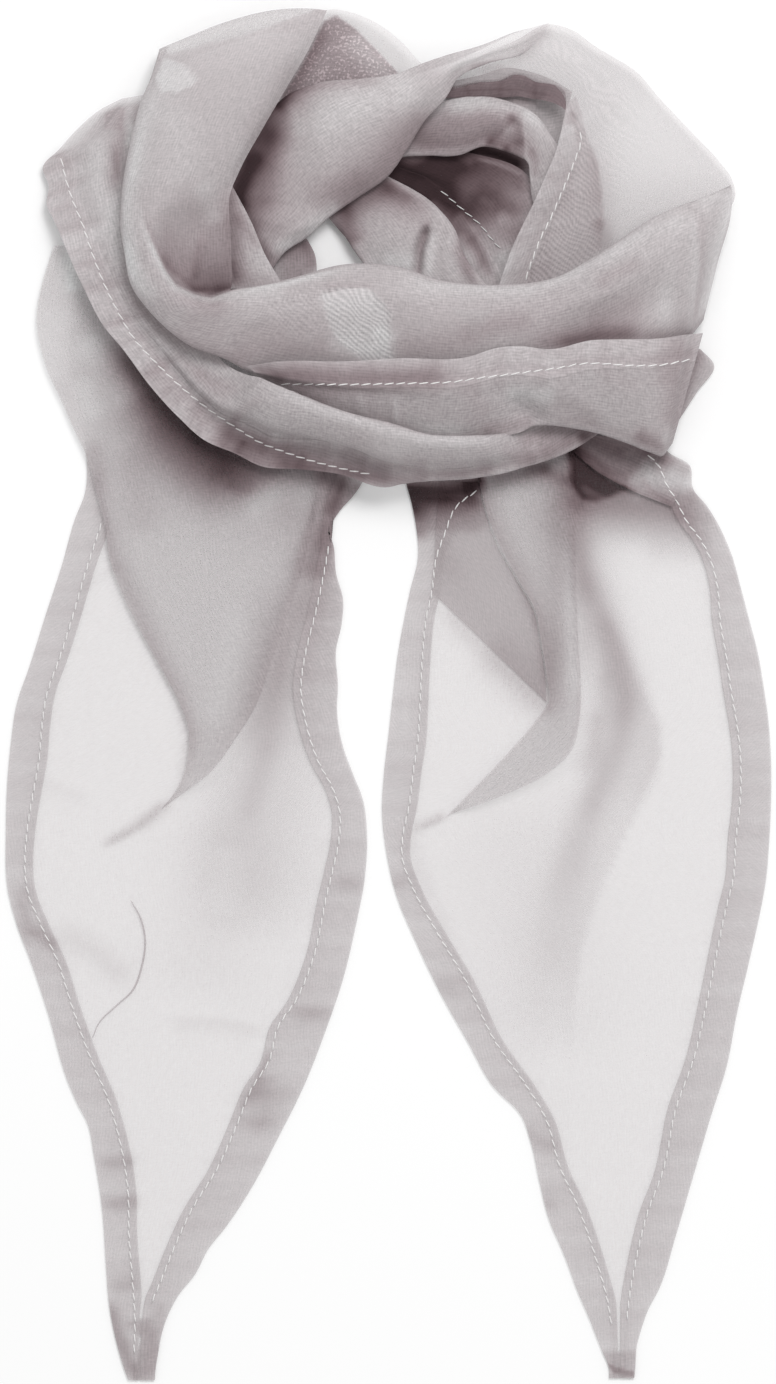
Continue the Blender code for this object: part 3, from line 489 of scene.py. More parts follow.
def share_of(xy, area):
    """How far inside an area grid positions are, 0 outside to 1 inside its soft edge."""
    far = nearest_on(xy, area.outline + area.outline[:1])[0]
    signed = np.where(inside(xy, area.outline), far, -far)
    return soft_step(signed, -area.soft / 2, area.soft / 2)


def puckers(run, seed):
    """An uneven small wave along a hem, from -1 to 1, at distances in metres."""
    turn = seed * 1.7
    total = np.zeros_like(run)
    for length, weight in ((3.7, 0.25), (5.9, 0.5), (9.7, 0.6), (17.0, 0.5), (31.0, 0.3)):
        total += weight * np.sin(2 * math.pi * run / (length * MM) + turn)
        turn = turn * 2.3 + 1.1
    return total / 1.4


def add_piece(name, points, faces, material):
    """A smooth mesh object in the scene."""
    mesh = bpy.data.meshes.new(name)
    mesh.from_pydata(points, [], faces)
    mesh.shade_smooth()
    mesh.materials.append(material)
    piece = bpy.data.objects.new(name, mesh)
    bpy.context.scene.collection.objects.link(piece)
    return piece


# --------------------------------------------------------------------------- the cloth


class Cloth:
    """One piece of sheer cloth, as grids of points with their layers, painted shade and hem."""

    def __init__(self, node, points, layers, shade, hem):
        self.node = node
        self.points, self.faces, self.weave = [], [], []
        self.layers, self.shade, self.hem = [], [], []
        self.grid(points, layers, shade, hem)

    def grid(self, points, layers, shade, hem=0.0):
        """Adds a grid of points. The other values are one number or one for each point."""
        rows, columns = shape = points.shape[:2]
        start = sum(len(p) for p in self.points)
        index = start + np.arange(rows * columns).reshape(shape)
        corners = [index[:-1, :-1], index[:-1, 1:], index[1:, 1:], index[1:, :-1]]
        self.faces.append(np.stack([c.reshape(-1) for c in corners], axis=1))
        self.points.append(points.reshape(-1, 3))
        for store, values in ((self.layers, layers), (self.shade, shade), (self.hem, hem)):
            store.append(np.broadcast_to(values, shape).reshape(-1))
        across = np.linalg.norm(np.diff(points, axis=1), axis=2).cumsum(axis=1)
        across = np.concatenate([np.zeros((rows, 1)), across], axis=1)
        across = across - across[:, columns // 2][:, None]
        along = np.broadcast_to(lengths(points[:, columns // 2])[:, None], shape)
        self.weave.append(np.stack([across, along, 0 * along], axis=2).reshape(-1, 3))
        self.tree = BVHTree.FromPolygons(
            [Vector(p) for p in np.concatenate(self.points)],
            np.concatenate(self.faces).tolist())

    def height(self, x, y):
        """The height of the top of the cloth over a point in plan."""
        hit = self.tree.ray_cast(Vector((x, y, 0.1)), Vector((0, 0, -1)))[0]
        if hit is None:
            hit = self.tree.find_nearest(Vector((x, y, 0.01)))[0]
        return hit.z

    def patch(self, a, b, layers, shade, lift, rows=48, columns=14):
        """Adds a layer of cloth between two grid lines, lift millimetres off this one, with painted
        shade.
        """
        sides = []
        for line in (a, b):
            curve = curve_through(line, 8)
            sides.append(at_lengths(curve, np.linspace(0, lengths(curve)[-1], rows)))
        share = np.linspace(0, 1, columns)[None, :, None]
        xy = sides[0][:, None] * (1 - share) + sides[1][:, None] * share
        points = np.array([[plan(*place) for place in row] for row in xy])
        for point in points.reshape(-1, 3):
            point[2] = max(self.height(point[0], point[1]) + lift * MM, ON_FLOOR)
        self.grid(points, layers, shade)

    def build(self, material, folds, veils, shadows, areas):
        """Makes the Blender object, with soft folds, veils, painted shadows and highlights, and
        areas laid on.
        """
        points = np.concatenate(self.points)
        xy = grid_xy(points)
        lift = strokes_at(xy, folds) * MM
        sink = points[:, 2] * np.clip(1 + lift / FOLD_SINK, LEAST_HEIGHT, 1.0)
        points[:, 2] = np.where(lift > 0, points[:, 2] + lift, sink)
        # Painted shade from the shadow strokes, and painted light where they are below 0.
        dark = strokes_at(xy, shadows)
        layers = np.concatenate(self.layers) + strokes_at(xy, veils)
        moire, glint = np.zeros((2, len(xy)))
        for area in areas:
            share = share_of(xy, area)
            if area.layers:
                layers = layers * (1 - share) + share * area.layers
            dark = dark + share * area.dark
            moire = np.maximum(moire, share * area.moire)
            glint = np.maximum(glint, share * area.glint)
        layers = np.maximum(layers, LEAST_LAYERS) * (1 + SHADE_VEIL * np.clip(dark, 0, 1))
        # The painted shade and light that the material multiplies into the colour.
        shade = np.concatenate(self.shade) * np.clip(1 - dark, *SHADE_RANGE)
        piece = add_piece("scarf_" + self.node, points.tolist(),
                          np.concatenate(self.faces).tolist(), material)
        mesh = piece.data
        for name, values in (("layers", layers), ("shade", shade), ("moire", moire),
                             ("glint", glint), ("hem", np.concatenate(self.hem))):
            data = mesh.attributes.new(name, "FLOAT", "POINT").data
            data.foreach_set("value", values.astype(np.float32))
        data = mesh.attributes.new("weave", "FLOAT_VECTOR", "POINT").data
        data.foreach_set("vector", np.concatenate(self.weave).astype(np.float32).reshape(-1))
        weld = bmesh.new()
        weld.from_mesh(mesh)
        bmesh.ops.remove_doubles(weld, verts=weld.verts, dist=WELD)
        weld.to_mesh(mesh)
        weld.free()
        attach(piece, "root")
        return piece


def edge_points(edge, inward, middle, z, turn, width):
    """Three points at a stretch's long edge, from the outside in: a roll, or a flat hem."""
    base = plan(*edge, z)
    if turn == PLAIN:
        return [base + (middle - base) * k / 3 for k in range(3)]
    rolled = min(turn / FULL_ROLL, 1.0)
    flat = min(EDGE_DEPTH, EDGE_MOST * width)
    depth = turn * MM
    under = base + inward * UNDER * depth * rolled
    under[2] = z * MM - depth
    extreme = base + inward * flat * 0.45 * (1 - rolled) ** 2
    extreme[2] = z * MM - 0.5 * depth
    shoulder = base + inward * min(flat * (1 - rolled) + 0.55 * depth, EDGE_MOST * width)
    shoulder[2] = z * MM
    return [under, extreme, shoulder]


def band_section(row):
    """The seven control points across one row of a rolled stretch."""
    across = plan(*row.far) - plan(*row.edge)
    width = np.linalg.norm(across)
    across = across / width
    middle = (plan(*row.edge, row.z) + plan(*row.far, row.far_z)) / 2
    middle[2] += row.crown * MM
    near = edge_points(row.edge, across, middle, row.z, row.turn, width)
    far = edge_points(row.far, -across, middle, row.far_z, row.far_turn, width)
    return near + [middle] + far[::-1]


def roll_section(row):
    """The seven control points across one row of the front roll."""
    inner, dip, lip, crest, outer = (plan(*point) for point in row)
    flank = (crest + outer) / 2
    flank[2] = outer[2] + 0.85 * (crest[2] - outer[2])
    inward = (crest - outer) * (1, 1, 0)
    inward /= np.linalg.norm(inward)
    under = outer + inward * ROLL_UNDER
    under[2] = outer[2] - ROLL_UNDER
    return [inner, dip, lip, crest, flank, outer, under]


def turned_end(first, second, drop, reach):
    """Three rows that end a stretch in a fold: under, at the fold and just inside it."""
    way = [(b - a) * (1, 1, 0) for a, b in zip(first, second)]
    way = [w / max(np.linalg.norm(w), 1e-9) for w in way]
    under = [p * (1, 1, 1 - drop) + w * UNDER * reach for p, w in zip(first, way)]
    extreme = [p * (1, 1, 1 - 0.45 * drop) for p in first]
    shoulder = [p + w * 0.45 * reach for p, w in zip(first, way)]
    return [under, extreme, shoulder]


def stretch(node, table, section=band_section, along=12, columns=48, ends=(None, None), hem=0.0,
            layers=5.0, pucker=0.05, seed=1.0):
    """A cloth from a table of rows. layers, and hem, its depth in mm, may vary by the row."""
    rows = [section(row) for row in table]
    count = len(rows)
    if ends[0]:
        rows = turned_end(rows[0], rows[1], *ends[0]) + rows[1:]
    if ends[1]:
        rows = rows[:-1] + turned_end(rows[-1], rows[-2], *ends[1])[::-1]
    dense = np.array([curve_through(row, 8) for row in rows])
    dense = np.stack([curve_through(dense[:, i], along) for i in range(dense.shape[1])], axis=1)
    at_row = np.linspace(0, count - 1, len(dense))
    deep = np.interp(at_row, range(count), np.broadcast_to(hem, count) * MM)
    thick = np.interp(at_row, range(count), np.broadcast_to(layers, count))
    wave = pucker * puckers(lengths(dense[:, 0]), seed)
    points, laid_layers, laid_shade, laid_hem = [], [], [], []
    for i, curve in enumerate(dense):
        width = lengths(curve)[-1]
        depth = min(deep[i], HEM_MOST * width)
        hemmed = depth > HEM_LEAST
        stitch = depth - HEM_TURN
        marks = (depth - HEM_STEP, depth + HEM_STEP, stitch - DENT_STEP, stitch, stitch + DENT_STEP)
        marks = [m for m in marks if hemmed and 0 < m < width]
        where = np.sort(np.append(np.linspace(0, width, columns - len(marks)), marks))
        in_hem = (where < depth) & hemmed
        near_stitch = bell(where - stitch, DENT_WIDTH) * hemmed
        brink = bell(where - depth, BRINK_WIDTH) * in_hem
        beside = wave[i] * bell(np.maximum(where - depth, 0), PUCKER_WIDTH) * hemmed
        laid = at_lengths(curve, where)
        laid[:, 2] += HEM_RISE * in_hem + PUCKER_RISE * beside * MM - DENT * near_stitch
        points.append(laid)
        laid_layers.append(thick[i] + HEM_LAYERS * in_hem + HEM_BRINK * brink)
        # Painted shade and light: puckers beside a hem lighten and darken the cloth, the
        # stitching's dent darkens it.
        laid_shade.append((1 + beside) * (1 - DENT_SHADE * near_stitch))
        laid_hem.append(in_hem * 1.0)
    return Cloth(node, *(np.array(v) for v in (points, laid_layers, laid_shade, laid_hem)))


def lower_layer(edge, stitch, inner, fold, back, deep, seen, wave):
    """Points across a tail from its near edge to the back of its pleat, which covers some."""
    room = max(back - inner, 0.0)
    beside = [inner + min(steps, share * room) for steps, share in BESIDE_HEM]
    high = TAIL_LOW + WAVE_RISE * max(wave, 0)
    places = (edge, edge + 2, (edge + stitch) / 2, stitch - 2, stitch, stitch + 2, inner - 1.2,
              inner - 0.3)
    # The last value is painted shade: puckers lighten and darken the hem, darkest at the stitching.
    row = [(x, TAIL_LOW + rise, layers, 1 + NEAR_WAVE[0] * wave - dark)
           for x, (rise, layers, dark) in zip(places, NEAR_HEM)]
    row += [(beside[0], TAIL_LOW, SINGLE, 1 + NEAR_WAVE[1] * wave),
            (beside[1], high, SINGLE, 1 + NEAR_WAVE[1] * wave),
            (beside[2], high, SINGLE, 1 + NEAR_WAVE[2] * wave)]
    row += [(x, TAIL_LOW, SINGLE, 1.0) for x in np.linspace(beside[2], back, LOWER)[1:]]
    for k, (x, z, layers, lit) in enumerate(row):
        bare = 1 - soft_step(x, fold, fold + PLEAT_COVER) if deep else 1.0
        row[k] = (x, z, (min(layers, COVERED) * (1 - bare) + layers * bare) * seen, lit)
    return row


def middle_layer(fold, back, deep):
    """Points across the inside of a pleat, with a turn at its back and one at its fold."""
    gap = PLEAT_GAP * deep
    layers = COVERED * deep + SINGLE * (1 - deep)
    row = []
    for turn in (45, 90, 135):
        row.append((back + PLEAT_TURN * deep * math.sin(math.radians(turn)),
                    TAIL_LOW + gap * (1 - math.cos(math.radians(turn))) / 2, layers, 1.0))
    row += [(x, TAIL_LOW + gap, layers, 1.0) for x in np.linspace(back, fold, MIDDLE)]
    # The turn of the fold gets painted light.
    for turn, glow in FOLD_GLOW:
        row.append((fold - PLEAT_TURN * deep * math.sin(math.radians(turn)),
                    TAIL_LOW + gap * (3 - math.cos(math.radians(turn))) / 2,
                    SINGLE - FOLD_THIN * deep, 1.0 + glow * deep))
    return row


def top_layer(fold, back, outer, far_stitch, far, deep, crown, wave):
    """Points across a tail from its pleat's fold to its far edge, down to the floor past it."""
    room = max(outer - fold, 0.0)
    beside = [outer - min(steps, share * room) for steps, share in BESIDE_HEM]
    step = min(1.0, 0.3 * (back - fold))
    brink = max(min(back, beside[2] - 2 * step), fold)
    over = np.linspace(fold, max(brink - step, fold), OVER)
    beyond = [*np.linspace(brink + step, beside[2], BEYOND), beside[1], beside[0]]
    places = (outer + 0.3, outer + 1.2, far_stitch - 2, far_stitch, far_stitch + 2,
              (far_stitch + far) / 2, far - 2, far)
    laid = [(x, 0.0, SINGLE + PLEAT_MORE * deep, 0.0) for x in over]
    laid += [(x, 0.0, SINGLE, 0.0) for x in beyond]
    laid += [(x, *profile) for x, profile in zip(places, FAR_HEM)]
    row = []
    for x, rise, layers, dark in laid:
        settle = soft_step(x, back + TAIL_SETTLE[0], back + TAIL_SETTLE[1])
        share = min(max((x - fold) / max(far - fold, 1.0), 0), 1)
        swell = crown * math.sin(math.pi * share) ** 1.5
        near = bell(max(outer - x, 0), HEM_NEAR)
        # The last value is painted shade: puckers lighten and darken the far hem, darkest at the
        # stitching.
        row.append((x, TAIL_LOW + 2 * PLEAT_GAP * deep * (1 - settle) + swell + rise, layers,
                    1 + FAR_WAVE * wave * near - dark))
    return row


def tail(node, lines, top, tip, crowns, hidden, seed):
    """A hanging end with a hem at both edges, and a pleat that closes at the tip.

    The lines are grid lines down its length, crowns gives the height to which the top layer
    domes at some y, and above hidden the lower layer is out of sight.
    """
    ys = np.arange(top, lines["edge"][-1][1] + 0.1, TAIL_ROWS)
    curves = [curve_through(line, 8) for line in lines.values()]
    at = np.array([np.interp(ys, curve[:, 1], curve[:, 0]) for curve in curves])
    crown = np.interp(ys, *zip(*crowns))
    near_wave, far_wave = puckers(ys * GRID, seed), puckers(ys * GRID, seed + 3)
    grid = []
    for i, y in enumerate(ys):
        edge, stitch, fold, back, far_stitch, far = at[:, i]
        reach = min(HEM_TURN / GRID, HEM_MEET * (far_stitch - stitch))
        inner, outer = stitch + reach, far_stitch - reach
        if y < tip[1]:
            back = max(back, fold)
            outer = max(outer, fold + 3)
            inner = min(inner, back - 1)
        else:
            drift = soft_step(y, tip[1], tip[1] + TAIL_DRIFT)
            fold = back = tip[0] + drift * ((inner + outer) / 2 - tip[0])
        deep = soft_step(back - fold, 0.0, PLEAT_DEEP)
        seen = soft_step(y, hidden - TAIL_SEEN, hidden)
        row = lower_layer(edge, stitch, inner, fold, back, deep, seen, near_wave[i])
        row += middle_layer(fold, back, deep)
        row += top_layer(fold, back, outer, far_stitch, far, deep, crown[i], far_wave[i])
        grid.append([(*plan(x, y, z), layers, lit) for x, z, layers, lit in row])
    grid = np.array(grid)
    layers = grid[..., 3]
    return Cloth(node, grid[..., :3], layers, grid[..., 4], (layers > HEMMED) * 1.0)


# ------------------------------------------------------------------------------ materials


def new_material(name):
    """A material, a short way to add and join nodes, and one to set what its shader takes."""
    material = bpy.data.materials.new(name)
    material.use_nodes = True
    tree = material.node_tree

    def join(node, inputs):
        for socket, value in inputs.items():
            if isinstance(value, bpy.types.NodeSocket):
                tree.links.new(value, node.inputs[socket])
            else:
                node.inputs[socket].default_value = value
        return node

    def make(kind, inputs, **settings):
        node = tree.nodes.new("ShaderNode" + kind)
        for key, value in settings.items():
            setattr(node, key, value)
        return join(node, inputs)

    def shader(inputs):
        join(tree.nodes["Principled BSDF"], inputs)

    return material, make, shader


def chiffon():
    """Sheer crepe chiffon: more layers let less light through, and the painted shade darkens it
    towards mauve.
    """
    material, make, shader = new_material("chiffon")

    def calc(operation, a, b=0.0, c=0.0, clamp=False):
        return make("Math", {0: a, 1: b, 2: c}, operation=operation, use_clamp=clamp).outputs[0]

    def value_of(name):
        return make("Attribute", {}, attribute_name=name).outputs["Fac"]

    def noise(vector, scale, detail):
        inputs = {"Vector": vector, "Scale": scale, "Detail": detail}
        return make("TexNoise", inputs).outputs["Fac"]

    def wave(vector, direction, scale, distortion, detail, detail_scale):
        inputs = {"Vector": vector, "Scale": scale, "Distortion": distortion, "Detail": detail,
                  "Detail Scale": detail_scale}
        return make("TexWave", inputs, bands_direction=direction).outputs["Fac"]

    def centred(value):
        return calc("SUBTRACT", value, 0.5)

    layers, shade, hem = value_of("layers"), value_of("shade"), value_of("hem")
    weave = make("Attribute", {}, attribute_name="weave").outputs["Vector"]
    place = make("TexCoord", {}).outputs["Object"]

    threads = []
    for fine, coarse in ((2300.0, 380.0), (600.0, 1900.0)):
        turned = make("Mapping", {"Vector": weave, "Rotation": (0.0, 0.0, 0.5),
                                  "Scale": (fine, coarse, 1.0)})
        threads.append(noise(turned.outputs[0], 1.0, 2.0))
    grain = calc("SUBTRACT", calc("ADD", *threads), 1.0)
    twill = centred(wave(weave, "X", TWILL_SCALE, 2.5, 2.0, 0.6))
    cloud = centred(noise(weave, 55.0, 3.0))
    mottle = calc("MULTIPLY", centred(noise(weave, 420.0, 2.0)), hem)
    bands = centred(wave(place, "DIAGONAL", 330.0, 9.0, 1.0, 0.45))
    bands = calc("MULTIPLY", bands, value_of("moire"))
    # Painted glints: of the fine specks only the brightest are left, where the cloth has glint.
    speck = calc("MULTIPLY_ADD", noise(place, 1500.0, 0.0), 9.0, -5.2, clamp=True)
    speck = calc("MULTIPLY", speck, value_of("glint"))

    # The cloth's own grain, twill, cloud, hem mottle and moire bands, with the painted glints.
    light = 1.0
    for detail, strength in ((grain, 0.27), (twill, 0.10), (cloud, 0.07), (mottle, 0.20),
                             (bands, 0.34), (speck, 0.55)):
        light = calc("MULTIPLY_ADD", detail, strength, light)

    through = calc("POWER", LAYER_THROUGH, layers)
    uneven = calc("MULTIPLY", grain, calc("MULTIPLY_ADD", through, 0.60, 0.30))
    cover = calc("MULTIPLY_ADD", bands, 0.10, calc("ADD", uneven, 1.0))
    alpha = calc("MULTIPLY", calc("SUBTRACT", 1.0, through), cover, clamp=True)
    body = calc("MULTIPLY", calc("MULTIPLY_ADD", through, 0.2, 1.0), light)
    channels = []
    # The painted shade darkens each channel, green and blue more.
    for value, power in zip(CHIFFON_DEEP, SHADE_POWER):
        tone = calc("MULTIPLY", body, value)
        channels.append(calc("MULTIPLY", tone, calc("POWER", shade, power), clamp=True))
    bump = make("Bump", {"Height": grain, "Strength": 0.2, "Distance": 0.00006})
    shader({"Base Color": make("CombineColor", dict(enumerate(channels))).outputs[0],
            "Alpha": alpha, "Normal": bump.outputs[0], "Roughness": 0.8,
            "Specular IOR Level": 0.15, "Sheen Weight": 0.06, "Sheen Roughness": 0.5})
    return material


def thread(name, dark, light):
    """Matte sewing thread with a twist, between two greys."""
    material, make, shader = new_material(name)
    place = make("TexCoord", {}).outputs["Object"]
    noise = make("TexNoise", {"Vector": place, "Scale": 2500.0, "Detail": 1.0})
    greys = {6: (dark, 0.97 * dark, 0.97 * dark, 1), 7: (light, 0.99 * light, 0.98 * light, 1)}
    mix = make("Mix", {"Factor": noise.outputs["Fac"], **greys}, data_type="RGBA")
    shader({"Base Color": mix.outputs[2], "Roughness": 0.6})
    return material


sheer = chiffon()
cotton = thread("thread", 0.62, 0.90)
shaded_cotton = thread("thread_in_shade", 0.42, 0.74)

# --------------------------------------------------------------------- the pieces of cloth

tail_left = tail("tail_left", LEFT, 246, (161, 809),
                 [(246, 2.5), (330, 4.5), (400, 4.5), (460, 3.5), (520, 2.2), (600, 1.2),
                  (700, 0.5), (790, 0.1), (1382, 0.0)], 470, 1.0)
# A fine crease: a thin strip with more layers and painted shade.
tail_left.patch([(131, 900), (141, 917), (146.2, 942), (143, 966), (134, 990), (116, 1007),
                 (99, 1024), (93, 1038)],
                [(130.6, 901), (139.6, 918), (144.4, 942), (141.2, 965), (132.4, 989),
                 (114.8, 1006), (98.2, 1023), (92.6, 1037)], 2.5, 0.8, 0.15, columns=3)
tail_right = tail("tail_right", RIGHT, 301, (445, 817),
                  [(301, 1.6), (480, 2.0), (560, 1.5), (640, 0.8), (720, 0.4), (800, 0.1),
                   (1380, 0.0)], 0, 2.0)
# Two more layers on the right tail, with a little painted shade.
tail_right.patch([(440, 482), (436, 530), (434, 570), (432, 592)],
                 [(477.5, 482), (483.5, 507), (496.5, 545), (517.5, 582), (534.5, 614),
                  (538.5, 637), (545.5, 680), (546.5, 702)], 3.0, 0.92, 0.2)
tail_right.patch([(566, 440), (600, 436), (640, 446), (690, 466)],
                 [(573, 452), (593, 469), (626, 488), (672, 507)], 3.0, 0.95, 1.2)
front_roll = stretch("front_roll", FRONT_ROLL, roll_section, along=9, columns=64,
                     ends=((0.6, 9 * MM), (0.3, 4 * MM)),
                     layers=[6] * 17 + [6, 6, 5.5, 4.5, 3, 2], seed=3.0)
front_band = stretch("front_band", FRONT_BAND, columns=52, ends=(None, (0.3, 4 * MM)), hem=8.2,
                     seed=4.0)
lower_band = stretch("lower_band", LOWER_BAND, along=10, columns=56, hem=[0] * 4 + [8.8] * 24,
                     pucker=0.10, seed=5.0)
cross_strand = stretch("cross_strand", CROSS_STRAND, columns=56,
                       layers=[1.4, 1.6, 2.1, 3.6] + [7] * 10, seed=6.0)
top_loop = stretch("top_loop", TOP_LOOP, columns=64, hem=[0] * 6 + [2.6, 6.5] + [8.8] * 7,
                   layers=[1.4] * 10 + [1.5, 1.6, 1.8, 2.2, 2.6], seed=7.0)
# The turned hem on the back of the loop, with painted shade where it lies in shadow.
top_loop.patch([(448, 88), (478, 83), (500, 81), (514, 75), (524, 76), (534, 82), (555, 86),
                (564, 92), (566, 104)],
               [(442, 99), (478, 98), (505, 98), (518, 97), (530, 99), (545, 102), (557, 106),
                (563, 110), (565, 112)], 7.0, 0.45, -0.3)
inner_back = stretch("inner_back", INNER_BACK, hem=8.8, layers=7.0, seed=10.0)
cloths = [
    tail_left, tail_right, front_roll, front_band, lower_band, cross_strand, top_loop,
    stretch("inner_roll", INNER_ROLL, along=10, columns=40, layers=4.5, seed=8.0),
    stretch("inner_strand", INNER_STRAND, along=20, layers=6.5, seed=9.0),
    inner_back,
    stretch("loop_back", LOOP_BACK, along=10, columns=40, layers=6.0),
    stretch("top_back", TOP_BACK, along=14, columns=40, layers=1.3),
    stretch("side_fold", SIDE_FOLD, columns=28),
    stretch("inner_fold", INNER_FOLD, columns=24, layers=6.5),
    stretch("back_fold", BACK_FOLD, columns=24, layers=6.0),
]
